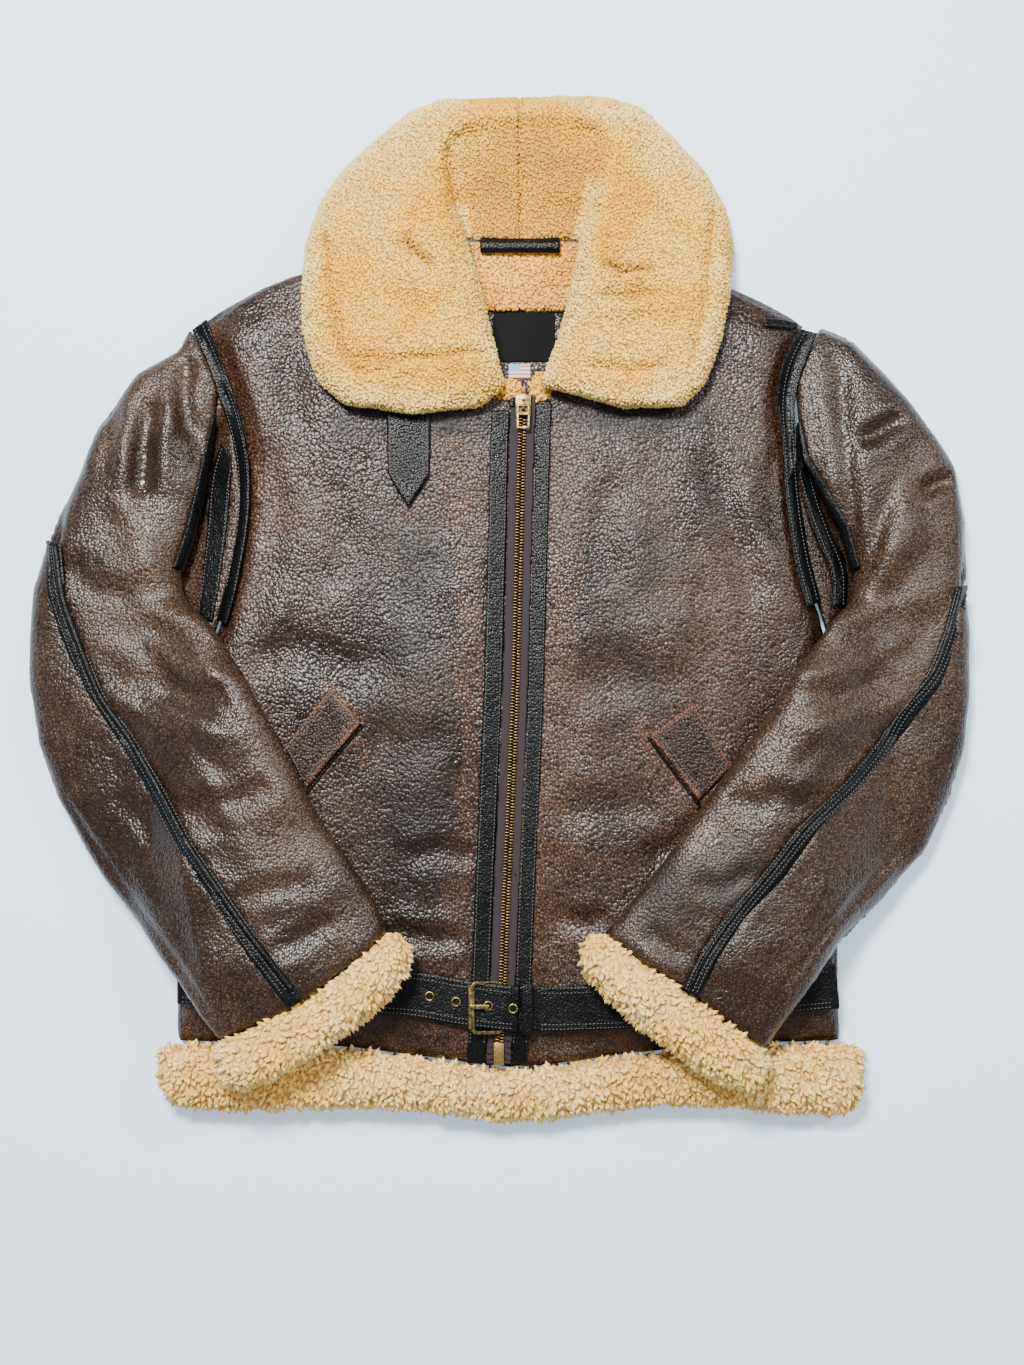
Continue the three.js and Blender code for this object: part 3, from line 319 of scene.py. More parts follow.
def scaled(tree, a, share):
    """A direction made longer or shorter."""
    return add(tree, "ShaderNodeVectorMath", {0: a, "Scale": share}, operation="SCALE").outputs[0]


def raised(tree, height, distance, strength=1.0):
    """Low relief from a pattern of heights."""
    return add(tree, "ShaderNodeBump", {"Strength": strength, "Distance": distance,
                                        "Height": height}).outputs[0]


def hide(name, deep, middle, wear_and_painted_light, cell=0.0027, relief=0.00031, gloss=0.28, crackle=0.0,
         patch=9.0, shine=0.42):
    """Grained leather: rounded pebbles with darker creases between them, fine pores, slow changes of
    shade, and a colour of wear where the piece is marked, which along the sleeve crowns is a painted
    highlight; where the mark is negative, a darker, less glossy painted shade."""
    material, tree, shader, place = new_material(name)
    drift = add(tree, "ShaderNodeTexNoise", {"Vector": place, "Scale": 55.0, "Detail": 2.0}).outputs[1]
    nudge = scaled(tree, vectors(tree, "SUBTRACT", drift, (0.5, 0.5, 0.5)), cell * 3)
    bent = vectors(tree, "ADD", place, nudge)
    pebble = add(tree, "ShaderNodeTexVoronoi",
                 {"Vector": bent, "Scale": 1 / cell, "Randomness": 0.9}).outputs[0]
    dome = maths(tree, "MULTIPLY_ADD", maths(tree, "MULTIPLY", pebble, pebble), -1.9, 1.0)
    gaps = add(tree, "ShaderNodeTexVoronoi", {"Vector": bent, "Scale": 1 / cell, "Randomness": 0.9},
               feature="DISTANCE_TO_EDGE").outputs["Distance"]
    pores = grain(tree, place, 1.3 / cell, 3.0, 0.65)
    wrinkles = grain(tree, bent, 90.0, 4.0, 0.6)
    shade = grain(tree, place, patch, 5.0, 0.6)
    cloudy = between(tree, shade, 0.0, 1.0, 0.32, 0.70)
    colour = blended(tree, cloudy, deep, middle)
    mark = painted(tree, "wear_and_painted_light")
    # A negative mark paints the hide darker and less glossy: painted shade.
    painted_shade = maths(tree, "MULTIPLY", mark, -1.0, clamp=True)
    colour = blended(tree, mark, colour, wear_and_painted_light)
    colour = blended(tree, painted_shade, colour, tuple(0.6 * c for c in deep))
    speckle = between(tree, pores, 0.50, 1.40, 0.3, 0.72)
    grey = add(tree, "ShaderNodeCombineColor", {0: speckle, 1: speckle, 2: speckle}).outputs[0]
    colour = blended(tree, 1.0, colour, grey, "MULTIPLY")
    creases = between(tree, gaps, 0.95, 0.0, 0.0, 0.28)
    if crackle:
        veins = add(tree, "ShaderNodeTexVoronoi", {"Vector": bent, "Scale": 0.5 / cell},
                    feature="DISTANCE_TO_EDGE").outputs["Distance"]
        creases = maths(tree, "MAXIMUM", creases, between(tree, veins, crackle, 0.0, 0.0, 0.11))
    colour = blended(tree, creases, colour, tuple(0.2 * c for c in deep))
    rough = maths(tree, "ADD", between(tree, pores, gloss - 0.05, gloss + 0.12, 0.3, 0.7),
                  between(tree, shade, 0.0, 0.10, 0.3, 0.7))
    rough = maths(tree, "MULTIPLY_ADD", painted_shade, 0.14, rough)
    height = maths(tree, "MULTIPLY_ADD", pores, 0.07, dome)
    height = maths(tree, "MULTIPLY_ADD", wrinkles, 2.6, height)
    fill(tree, shader, {"Base Color": colour, "Roughness": rough, "Specular IOR Level": shine,
                        "Normal": raised(tree, height, relief)})
    return material


brown_hide = hide("brown_hide", deep=(0.020, 0.009, 0.0055), middle=(0.088, 0.042, 0.024),
                  wear_and_painted_light=(0.135, 0.056, 0.026), gloss=0.27, shine=0.38)

back = skin_over("back_hide", "back_panel", 0.006, 5)
pressed(back, [
    ([(-180, 120), (-150, 40), (-165, -60)], 2.2, 14),
    ([(150, 150), (120, 60), (140, -30), (118, -120)], 2.6, 16),
    ([(-60, -160), (20, -185), (110, -175)], 2.0, 12),
    ([(-30, 190), (-20, 60), (-34, -40)], 1.6, 18),
], facing=-1)
marked(back, "wear_and_painted_light", [([(150, 960), (860, 960)], 26, 0.4)])
fitted(back, "back_panel", brown_hide)

# The fronts and the underarm gussets
# Each front is a sheepskin panel from the shoulder to the hem band, and a narrow gusset joins it
# to the back under the arm. They bulge over the fleece inside and sag between the belt and the hem.
front_creases = {
    "right_front": [
        ([(262, 440), (275, 500), (268, 570), (250, 640)], 1.6, 14),
        ([(330, 470), (345, 530), (335, 600)], 1.4, 16),
        ([(240, 660), (290, 650), (350, 665), (410, 655)], 1.4, 24),
        ([(365, 735), (410, 745), (450, 735)], 1.2, 20),
        ([(400, 860), (440, 850), (478, 862)], 1.2, 11),
        ([(386, 930), (430, 940), (470, 938)], 1.6, 10),
        ([(400, 1030), (440, 1022), (474, 1034)], 1.0, 9),
        ([(300, 320), (290, 380), (302, 440)], 1.2, 14),
    ],
    "left_front": [
        ([(700, 440), (722, 500), (745, 560), (760, 610)], 1.8, 14),
        ([(620, 470), (600, 540), (612, 600)], 1.2, 18),
        ([(560, 690), (620, 676), (690, 690)], 1.4, 24),
        ([(548, 800), (600, 812), (660, 805)], 1.2, 20),
        ([(552, 915), (580, 925), (610, 915)], 1.4, 10),
        ([(552, 1046), (600, 1040), (640, 1050)], 1.2, 9),
        ([(775, 440), (768, 500), (786, 560)], 1.4, 10),
        ([(640, 860), (680, 845), (720, 800)], 1.4, 14),
    ],
}
# Redder wear by the zip, the pockets and the armhole straps; the negative marks are painted shade: a
# broad dark patch on each belly and a painted shadow under the collar's lower edge.
front_wear_and_shade = {
    "right_front": [
        ([(452, 430), (470, 640), (462, 860), (448, 960)], 14, 0.42),
        ([(331, 688), (361, 723), (302, 793)], 8, 0.75),
        ([(352, 726), (366, 760)], 10, 0.4),
        ([(205, 320), (245, 395), (262, 470), (258, 560)], 7, 0.45),
        # Painted shade on the belly, then painted shadow under the collar's lower edge.
        ([(410, 560), (400, 660), (420, 760), (400, 860)], 46, -0.75),
        ([(345, 424), (420, 428), (485, 422)], 13, -0.9),
    ],
    "left_front": [
        ([(560, 560), (556, 700), (548, 860), (540, 950)], 26, 0.40),
        ([(640, 720), (655, 760), (700, 800)], 9, 0.75),
        ([(790, 470), (800, 560)], 7, 0.4),
        # Painted shade on the belly, then painted shadow under the collar's lower edge.
        ([(640, 560), (610, 640), (640, 700)], 40, -0.6),
        ([(566, 412), (630, 424), (690, 420)], 13, -0.9),
    ],
}
for side in ("right", "left"):
    front = skin_over(f"{side}_front_hide", f"{side}_front", 0.004, 6)
    rumpled(front, 130, 2.4, 2 if side == "right" else 5, 0.2, sunk=0.3)
    rumpled(front, 52, 4.2, 12 if side == "right" else 15, 0.2, run=0.3, sunk=0.5)
    rumpled(front, 30, 1.0, 3 if side == "right" else 8, 0.2)
    pressed(front, front_creases[f"{side}_front"])
    marked(front, "wear_and_painted_light", front_wear_and_shade[f"{side}_front"])
    fitted(front, f"{side}_front", brown_hide)
    gusset = skin_over(f"{side}_gusset_hide", f"{side}_gusset", 0.003, 4)
    rumpled(gusset, 30, 0.8, 4, 0.2)
    fitted(gusset, f"{side}_gusset", brown_hide)

# The sleeves
# A sleeve is a wide top panel and a narrow under panel, sewn into a tube round the fleece and
# folded over the front. Its hide is drier and more tan, with a net of fine cracks.
tan_hide = hide("tan_hide", deep=(0.036, 0.018, 0.010), middle=(0.108, 0.060, 0.033),
                wear_and_painted_light=(0.16, 0.086, 0.046), cell=0.0024, relief=0.00028, crackle=1.0)
sleeve_creases = {
    "right": [
        ([(188, 352), (184, 395), (192, 442)], 3.4, 9),
        ([(150, 396), (143, 440), (140, 500)], 3.6, 10),
        ([(205, 372), (206, 410), (196, 470)], 1.6, 8),
        ([(120, 400), (108, 440), (104, 480)], 1.8, 10),
        ([(60, 560), (95, 590), (140, 600)], 1.4, 12),
        ([(150, 690), (190, 700), (235, 690)], 1.6, 12),
        ([(190, 800), (235, 800), (280, 785)], 1.4, 11),
        ([(230, 900), (270, 890), (320, 880)], 1.3, 10),
        ([(110, 790), (140, 820), (160, 850)], 1.2, 9),
        ([(264, 960), (300, 940), (340, 915)], 1.5, 9),
        ([(54, 779), (89, 837), (134, 903), (175, 961), (223, 1037)], 1.0, 4),
    ],
    "left": [
        ([(838, 362), (842, 400), (846, 452), (852, 520), (858, 575)], 2.2, 9),
        ([(858, 442), (882, 430), (906, 414)], 3.2, 9),
        ([(954, 478), (938, 484), (920, 492)], 3.8, 8),
        ([(922, 508), (896, 556), (862, 612)], -1.4, 12),
        ([(900, 470), (880, 520), (868, 560)], 1.6, 9),
        ([(770, 700), (810, 690), (850, 700)], 1.5, 12),
        ([(720, 800), (760, 805), (800, 790)], 1.4, 11),
        ([(690, 880), (720, 890), (760, 870)], 1.3, 10),
        ([(645, 930), (670, 950), (690, 960)], 1.4, 9),
        ([(860, 640), (900, 660), (930, 640)], 1.3, 11),
        ([(918, 837), (884, 868), (832, 926), (774, 999)], 1.0, 4),
    ],
}
for side in ("right", "left"):
    for part, grid in (("top", 0.004), ("under", 0.0035)):
        sleeve = skin_over(f"{side}_{part}_sleeve_hide", f"{side}_{part}_sleeve", grid, 6)
        rumpled(sleeve, 90, 2.2, 6 if side == "right" else 9, 0.0)
        rumpled(sleeve, 26, 0.7, 7 if side == "right" else 4, 0.0)
        rumpled(sleeve, 46, 3.4, 16, 0.0)
        pressed(sleeve, sleeve_creases[side])
        # Painted highlight: a lighter tan along the crown of each sleeve, where the highlight runs; and
        # painted shade: a dark patch low on the left sleeve.
        marked(sleeve, "wear_and_painted_light", [
            ([(122, 510), (163, 589), (186, 643), (240, 700), (290, 800)], 22, 0.35),
            ([(890, 560), (850, 640), (760, 780), (700, 850)], 20, 0.35),
            ([(655, 900), (700, 900), (740, 880)], 40, -1.0),
        ], 3)
        fitted(sleeve, f"{side}_{part}_sleeve", tan_hide)


def eye_ray(across, down):
    """The direction from the eye to a place on the table."""
    floor = Vector((EYE.x + (across - MIDDLE[0]) * STEP, EYE.y + (MIDDLE[1] - down) * STEP, 0))
    return (floor - EYE).normalized()


def spot_at(across, down, height):
    """The point at a height in metres that the eye sees at a place."""
    ray = eye_ray(across, down)
    return EYE + ray * ((EYE.z - height) / -ray.z)


def lump_at(size, middle):
    """A rounded lump at a point, given by its three half widths in metres."""
    lump = bmesh.new()
    bmesh.ops.create_icosphere(lump, subdivisions=3, radius=1)
    bmesh.ops.scale(lump, verts=lump.verts, vec=size)
    bmesh.ops.translate(lump, verts=lump.verts, vec=middle)
    return lump


# A fold of the hide closes the fork between the right gusset and the sleeve.
fold = shown("right_armhole_fold", lump_at((0.011, 0.021, 0.009), spot_at(218, 405, 0.011)))
fold.data.shade_smooth()
fold.data.materials.append(brown_hide)
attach(fold, "jacket")

# The black seam straps
# Strips of thin black leather, turned under at both edges and stitched down over the joins of
# the armholes, gussets, sleeve heads and shoulder and along the whole of each sleeve.
black_hide = hide("black_hide", deep=(0.0025, 0.0028, 0.0035), middle=(0.0062, 0.0066, 0.0078),
                  wear_and_painted_light=(0.03, 0.028, 0.027), cell=0.0018, relief=0.00021, patch=22.0, shine=0.21)


def strap(name, node, grid=0.0012, rounds=4, keep=0.4):
    """A leather strip laid where its solid lies, its edges turned over. Its flat cut in mm, listed with
    each strap, is not used.
    """
    piece = fitted(skin_over(name, node, grid, rounds, keep), node, black_hide)
    return piece


for part, flat, rests_on in (
    ("right_armhole", (12.2, 290), "right_front_hide"),
    ("left_armhole", (14.5, 295), "left_front_hide"),
    ("right_gusset", (20, 127), "right_gusset_hide"),
    ("left_gusset", (12.5, 148), "left_gusset_hide"),
    ("right_sleeve_head", (13.5, 138), "right_top_sleeve_hide"),
    ("left_sleeve_head", (12.5, 135), "left_top_sleeve_hide"),
    ("right_sleeve", (15, 442), "right_top_sleeve_hide"),
    ("left_sleeve", (14.5, 415), "left_top_sleeve_hide"),
    ("left_shoulder", (10.5, 22), "left_front_hide"),
):
    strap(f"{part}_tape", f"{part}_strap")

# The collar
# The collar is cut in two halves of sheepskin with one seam at the centre back, and lies open
# with its fleece outwards: a thick rolled stand and two broad wings with a padded rim.


def lock(name, rings, material, bend=0.25, sides=4):
    """One tuft: a closed, tapered curl on its root. Each ring is (height, radius), and the last
    ring is drawn together to a tip."""
    curl = bmesh.new()
    bmesh.ops.create_circle(curl, cap_ends=True, radius=rings[0][1], segments=sides)
    edge = curl.edges[:]
    low = rings[0][0]
    for height, radius in rings[1:]:
        grown = bmesh.ops.extrude_edge_only(curl, edges=edge)["geom"]
        ring = [g for g in grown if isinstance(g, bmesh.types.BMVert)]
        edge = [g for g in grown if isinstance(g, bmesh.types.BMEdge)]
        centre = sum((v.co for v in ring), Vector()) / len(ring)
        wide = max((v.co - centre).length for v in ring)
        rise = Vector((bend * (height - low), 0, height - low))
        for v in ring:
            v.co = centre + (v.co - centre) * (radius / wide) + rise
        low = height
        bend *= 1.6
    bmesh.ops.pointmerge(curl, verts=ring, merge_co=sum((v.co for v in ring), Vector()) / len(ring))
    bmesh.ops.recalc_face_normals(curl, faces=curl.faces)
    bmesh.ops.translate(curl, verts=curl.verts, vec=(0, 0, rings[0][0]))
    mesh = bpy.data.meshes.new(name)
    curl.to_mesh(mesh)
    curl.free()
    mesh.shade_smooth()
    layer = mesh.attributes.new("tip", "FLOAT", "POINT")
    layer.data.foreach_set("value", [max(0.0, v.co.z / rings[-1][0]) for v in mesh.vertices])
    mesh.materials.append(material)
    return bpy.data.objects.new(name, mesh)


def fleece(name, root, middle, tip, painted_shade_colour, crumb=0.0026, patch=17.0):
    """Combed and clipped wool: darker at the root, partly the wool's own colour and partly painted
    shade, with painted shade between the curls on the bare base; paler at the tips and where the piece
    is marked; and painted shade where the mark is negative, in the shade colour and, deepest, the
    root's."""
    material, tree, shader, place = new_material(name)
    tall, bare, tone, tint_and_shade = (painted(tree, layer) for layer in ("tip", "bare", "tone", "tint_and_shade"))
    cloud = grain(tree, place, patch, 3.0)
    fibre = grain(tree, place, 800.0, 3.0)
    curls = add(tree, "ShaderNodeTexVoronoi", {"Vector": place, "Scale": 1 / crumb}).outputs[0]
    share = maths(tree, "MULTIPLY_ADD", tone, 0.24, between(tree, cloud, 0.0, 0.50, 0.34, 0.66))
    share = maths(tree, "MULTIPLY_ADD", tint_and_shade, 0.75, share, clamp=True)
    body = blended(tree, share, middle, tip)
    # Painted shade where the mark is negative: the shade colour, and the root's where it is deepest.
    body = blended(tree, maths(tree, "MULTIPLY", tint_and_shade, -1.2, clamp=True), body, painted_shade_colour)
    body = blended(tree, between(tree, tint_and_shade, 0.0, 0.75, -0.8, -1.0), body, root)
    # Painted shade between the curls on the bare base, and darker towards each tuft's root, partly the
    # wool's own colour and partly painted shade.
    rise = maths(tree, "MULTIPLY_ADD", bare, between(tree, curls, 0.62, 0.10, 0.1, 0.75), tall)
    colour = blended(tree, between(tree, rise, 0.0, 1.0, -0.05, 0.7), root, body)
    soft = between(tree, fibre, 0.76, 1.12, 0.3, 0.7)
    grey = add(tree, "ShaderNodeCombineColor", {0: soft, 1: soft, 2: soft}).outputs[0]
    fill(tree, shader, {"Base Color": blended(tree, 1.0, colour, grey, "MULTIPLY"), "Roughness": 0.95,
                        "Specular IOR Level": 0.06, "Normal": raised(tree, fibre, 0.0009, 0.9)})
    return material


def tucked(piece, depth, seam=9.0):
    """The piece drawn in by a depth in mm all round, to leave room for its tufts, but not beside a
    seam that runs up and down the jacket. Without one, the seam is taken to be 9 m away."""
    points, outward = spots(piece)
    share = np.clip((np.abs(points[:, 0] - seam) - 0.001) / 0.006, 0, 1)
    points -= outward * (share * depth / 1000)[:, None]
    return moved_to(piece, points)


def chance(group, low, high, seed):
    """A number drawn for each tuft."""
    return add(group, "FunctionNodeRandomValue", {2: low, 3: high, "Seed": seed},
               data_type="FLOAT").outputs[1]


def furred(base, name, tuft, spacing, size, seed, comb=(0, 0, 0), clump=0.6, stray=0.3,
           under=0.12):
    """Tufts rooted all over a base, spaced in mm. They lean the way they are combed and with their
    neighbours, and are sparse on the side that lies on the table or on other pieces."""
    piece = linked(bpy.data.objects.new(name, base.data.copy()))
    group = bpy.data.node_groups.new(name, "GeometryNodeTree")
    group.interface.new_socket("Geometry", in_out="INPUT", socket_type="NodeSocketGeometry")
    group.interface.new_socket("Geometry", in_out="OUTPUT", socket_type="NodeSocketGeometry")
    inlet, outlet = group.nodes.new("NodeGroupInput"), group.nodes.new("NodeGroupOutput")
    outward = add(group, "GeometryNodeInputNormal").outputs[0]
    height = add(group, "ShaderNodeSeparateXYZ", {0: outward}).outputs[2]
    full = 1e6 / spacing ** 2
    density = add(group, "ShaderNodeMapRange",
                  {0: height, 1: -0.7, 2: -0.2, 3: full * under, 4: full}).outputs[0]
    strewn = add(group, "GeometryNodeDistributePointsOnFaces",
                 {"Mesh": inlet.outputs[0], "Density": density, "Seed": seed},
                 distribute_method="RANDOM")
    own_way = add(group, "FunctionNodeRandomValue",
                  {0: (-stray,) * 3, 1: (stray,) * 3, "Seed": seed + 1},
                  data_type="FLOAT_VECTOR").outputs[0]
    swirl = add(group, "ShaderNodeTexNoise", {"Scale": 75.0, "Detail": 1.0}).outputs["Color"]
    swirl = scaled(group, vectors(group, "SUBTRACT", swirl, (0.5, 0.5, 0.5)), clump * 4)
    lean = vectors(group, "ADD", strewn.outputs["Normal"], comb)
    lean = vectors(group, "ADD", vectors(group, "ADD", lean, own_way), swirl)
    stand = add(group, "FunctionNodeAlignRotationToVector", {"Vector": lean}, axis="Z").outputs[0]
    turn = add(group, "ShaderNodeCombineXYZ", {2: chance(group, 0.0, 6.283, seed + 2)}).outputs[0]
    stand = add(group, "FunctionNodeRotateRotation", {0: stand, 1: turn},
                rotation_space="LOCAL").outputs[0]
    seedling = add(group, "GeometryNodeObjectInfo",
                   {"Object": tuft, "As Instance": True}).outputs["Geometry"]
    placed = add(group, "GeometryNodeInstanceOnPoints", {
        "Points": strewn.outputs["Points"], "Instance": seedling, "Rotation": stand,
        "Scale": chance(group, size[0], size[1], seed + 3)}).outputs[0]
    toned = add(group, "GeometryNodeStoreNamedAttribute",
                {"Geometry": placed, "Name": "tone", "Value": chance(group, -1.0, 1.0, seed + 4)},
                data_type="FLOAT", domain="INSTANCE").outputs[0]
    real = add(group, "GeometryNodeRealizeInstances", {0: toned}).outputs[0]
    group.links.new(real, outlet.inputs[0])
    piece.modifiers.new("tufts", "NODES").node_group = group
    baked(piece)
    moved_to(piece, spots(piece)[0])
    piece.data.name = name
    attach(piece, "jacket")
    bare = base.data.attributes.new("bare", "FLOAT", "POINT")
    bare.data.foreach_set("value", [1.0] * len(base.data.vertices))
    return piece


honey = fleece("honey_fleece", root=(0.36, 0.16, 0.025), middle=(0.90, 0.445, 0.024),
               tip=(1.0, 0.76, 0.25), painted_shade_colour=(0.60, 0.33, 0.075))
curl = lock("collar_curl", [(-0.0010, 0.0013), (0.0009, 0.0018), (0.0020, 0.0006)], honey, 0.2, 3)
collar_creases = {
    "right": [
        ([(403, 236), (415, 252), (432, 264)], 4.0, 4.0),
        ([(325, 232), (330, 300), (340, 350), (357, 370)], 3.0, 5),
        ([(345, 356), (390, 360), (440, 356), (485, 350)], 2.2, 5),
        ([(345, 370), (372, 372), (400, 366)], 2.4, 4),
        ([(345, 175), (372, 190), (400, 185)], 1.6, 12),
        ([(380, 300), (420, 310), (460, 300)], 1.2, 14),
    ],
    "left": [
        ([(605, 262), (622, 272), (650, 268)], 4.0, 4.0),
        ([(600, 292), (630, 298), (655, 290)], 2.2, 6),
        ([(712, 210), (708, 270), (700, 330), (690, 366)], 2.2, 6),
        ([(580, 366), (630, 372), (680, 364)], 2.0, 5),
        ([(640, 130), (660, 170), (690, 200)], 1.6, 12),
        ([(600, 330), (640, 322), (680, 330)], 1.4, 12),
    ],
}
# Each collar half is paler along its padded rim and the inner edge of its wing; the negative marks are
# painted shade over the deep stand between the wings and along the main creases.
collar_tint_and_shade = {
    "right": [
        ([(440, 97), (405, 113), (370, 138), (342, 167), (317, 200), (304, 240), (300, 290),
          (304, 340), (316, 380), (345, 405), (410, 414), (480, 408)], 20, 1.0),
        ([(462, 215), (478, 262), (492, 320), (505, 380)], 13, 0.8),
        ([(523, 150), (500, 170), (490, 225)], 34, -0.72),
        ([(403, 236), (415, 252), (432, 264)], 3.2, -1.6),
        ([(325, 232), (330, 300), (340, 350), (357, 370)], 2.6, -0.9),
        ([(345, 356), (390, 360), (440, 356), (485, 350)], 2.4, -0.7),
    ],
    "left": [
        ([(612, 98), (644, 108), (674, 138), (703, 170), (727, 208), (734, 243), (732, 292),
          (722, 340), (706, 382), (684, 406), (625, 408), (566, 391)], 20, 1.0),
        ([(592, 190), (580, 245), (566, 310), (548, 380)], 13, 0.8),
        ([(523, 150), (560, 170), (562, 225)], 34, -0.72),
        ([(605, 262), (622, 272), (650, 268)], 3.2, -1.6),
        ([(600, 292), (630, 298), (655, 290)], 2.6, -0.8),
        ([(712, 210), (708, 270), (700, 330), (690, 366)], 2.6, -0.7),
    ],
}
collar_seam = (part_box("right_collar")[1][0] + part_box("left_collar")[0][0]) / 2
for side, seed in (("right", 11), ("left", 31)):
    collar = skin_over(f"{side}_collar_fleece", f"{side}_collar", 0.0036, 5)
    tucked(collar, 1.6, collar_seam)
    rumpled(collar, 60, 2.0, seed, -0.3)
    rumpled(collar, 17, 1.0, seed + 1, -0.5)
    pressed(collar, collar_creases[side])
    marked(collar, "tint_and_shade", collar_tint_and_shade[side], seed, 0.5)
    fitted(collar, f"{side}_collar", honey)
    furred(collar, f"{side}_collar_curls", curl, 2.35, (0.75, 1.2), seed, clump=0.35, stray=0.25)

# The inside of the neck
# Between the wings shows the fleece of the back, a hanger loop of black leather, a black woven
# label without lettering, a small striped flag tab, and a dark flap over the top of the zip.


def skin_of(*pieces):
    """The surfaces of some pieces, to lay other things on."""
    whole = bmesh.new()
    for piece in pieces:
        whole.from_mesh(piece.data)
    made = BVHTree.FromBMesh(whole)
    whole.free()
    return made


def touched(skin, across, down):
    """The point of a surface that the eye sees at a place, and its outward direction."""
    return skin.ray_cast(EYE, eye_ray(across, down))[:2]


def copies(name, shape, turns, material):
    """One piece made of many copies of a small shape, one at each place and turn."""
    whole = bmesh.new()
    for turn in turns:
        one = shape.copy()
        one.transform(turn)
        whole.from_mesh(one)
        bpy.data.meshes.remove(one)
    piece = shown(name, whole)
    piece.data.shade_smooth()
    piece.data.materials.append(material)
    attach(piece, "jacket")
    return piece


def shaped(name, solid, sharp=40):
    """A mesh from a bmesh, smooth but for its sharp edges."""
    mesh = bpy.data.meshes.new(name)
    solid.to_mesh(mesh)
    solid.free()
    mesh.shade_smooth()
    mesh.set_sharp_from_angle(angle=math.radians(sharp))
    return mesh


curl_rings = [(-0.0010, 0.0016), (0.0012, 0.0022), (0.0028, 0.0006)]
back_curl = lock("back_curl", curl_rings, honey, 0.2, sides=3)
rose = fleece("rose_fleece", root=(0.42, 0.17, 0.03), middle=(0.87, 0.41, 0.06),
              tip=(0.95, 0.60, 0.17), painted_shade_colour=(0.6, 0.3, 0.06))
rose_curl = lock("rose_curl", curl_rings, rose, 0.2, sides=3)
low, high = spot_at(470, 309, 0.0155), spot_at(582, 246, 0.0155)
middle = (low + high) / 2
pile = bmesh.new()
bmesh.ops.create_cube(pile, size=1)
bmesh.ops.scale(pile, verts=pile.verts, vec=(high.x - low.x, high.y - low.y, 0.0042))
bmesh.ops.translate(pile, verts=pile.verts, vec=(middle.x, middle.y, 0.0175))
bmesh.ops.subdivide_edges(pile, edges=pile.edges, cuts=14, use_grid_fill=True)
pads = [("neck_fleece", pile, (0.093, 0.053), "laid", rose, rose_curl)]
front_skin = skin_of(bpy.data.objects["right_front_hide"], bpy.data.objects["left_front_hide"])
for name, place, wide, long in (("right_throat_fleece", (509, 390), 0.0115, 0.0075),
                                ("left_throat_fleece", (540, 389), 0.0085, 0.0125)):
    point = touched(front_skin, *place)[0]
    lump = lump_at((wide, long, 0.0036), point + Vector((0, 0, 0.0012)))
    pads.append((name, lump, (2 * wide, 2 * long), "folded", honey, back_curl))
for name, pile, flat, held, wool, strand in pads:
    patch = linked(bpy.data.objects.new(name, shaped(name, pile, 180)))
    rumpled(patch, 18, 1.2, 5, 0.3)
    patch.data.materials.append(wool)
    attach(patch, "jacket")
    furred(patch, f"{name}_curls", strand, 2.3, (0.75, 1.15), 17, clump=0.5, under=0.0)

strap("hanger_tape", "hanger_loop", 0.001, 3, 0.5)
strap("zip_stop_leather", "zip_stop_flap", 0.0007, 2, 0.5)


def ribs(tree, place, scale, drift, way):
    """The ribs of a woven cloth, across or along it."""
    return add(tree, "ShaderNodeTexWave", {"Vector": place, "Scale": scale, "Distortion": drift},
               bands_direction=way).outputs[1]


label_cloth, tree, shader, place = new_material("woven_label")
weave = maths(tree, "MULTIPLY", ribs(tree, place, 330.0, 0.4, "X"), ribs(tree, place, 330.0, 0.4, "Y"))
fill(tree, shader, {
    "Base Color": blended(tree, weave, (0.002, 0.002, 0.0025), (0.008, 0.008, 0.009)),
    "Normal": raised(tree, weave, 0.0002, 0.4),
    "Roughness": 0.8,
    "Specular IOR Level": 0.15,
})
label = fitted(skin_over("woven_label", "neck_label", 0.0009, 2, 0.3), "neck_label", label_cloth)

flag_cloth, tree, shader, place = new_material("flag_cloth")
low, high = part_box("flag_tab")
x, y, _ = add(tree, "ShaderNodeSeparateXYZ", {0: place}).outputs
up = maths(tree, "DIVIDE", maths(tree, "SUBTRACT", y, low[1]), (high[1] - low[1]) / 4)
stripe = maths(tree, "GREATER_THAN", maths(tree, "FRACT", up), 0.5)
ground = blended(tree, stripe, (0.52, 0.16, 0.17), (0.72, 0.66, 0.68))
left_part = maths(tree, "LESS_THAN", x, low[0] + 0.55 * (high[0] - low[0]))
upper_part = maths(tree, "GREATER_THAN", y, low[1] + 0.45 * (high[1] - low[1]))
corner = maths(tree, "MULTIPLY", left_part, upper_part)
fill(tree, shader, {"Base Color": blended(tree, corner, ground, (0.24, 0.38, 0.60)), "Roughness": 0.75})
flag = fitted(skin_over("flag_cloth_tab", "flag_tab", 0.0008, 2, 0.4), "flag_tab", flag_cloth)

# The throat tab and the pocket welts
# The throat tab is a pointed strap of black leather from under the collar. Each slanted pocket
# has a welt of the brown hide, stitched twice round and rubbed to a redder tan at its edges.
thread, tree, shader, place = new_material("waxed_thread")
twist = grain(tree, place, 1400.0, 1.0)
fill(tree, shader, {"Base Color": blended(tree, twist, (0.035, 0.033, 0.032), (0.15, 0.145, 0.14)),
                    "Roughness": 0.45})
round_stitch = bmesh.new()
bmesh.ops.create_icosphere(round_stitch, subdivisions=1, radius=1)
bmesh.ops.scale(round_stitch, verts=round_stitch.verts, vec=(0.0012, 0.00042, 0.00034))
stitch = shaped("stitch", round_stitch, 180)


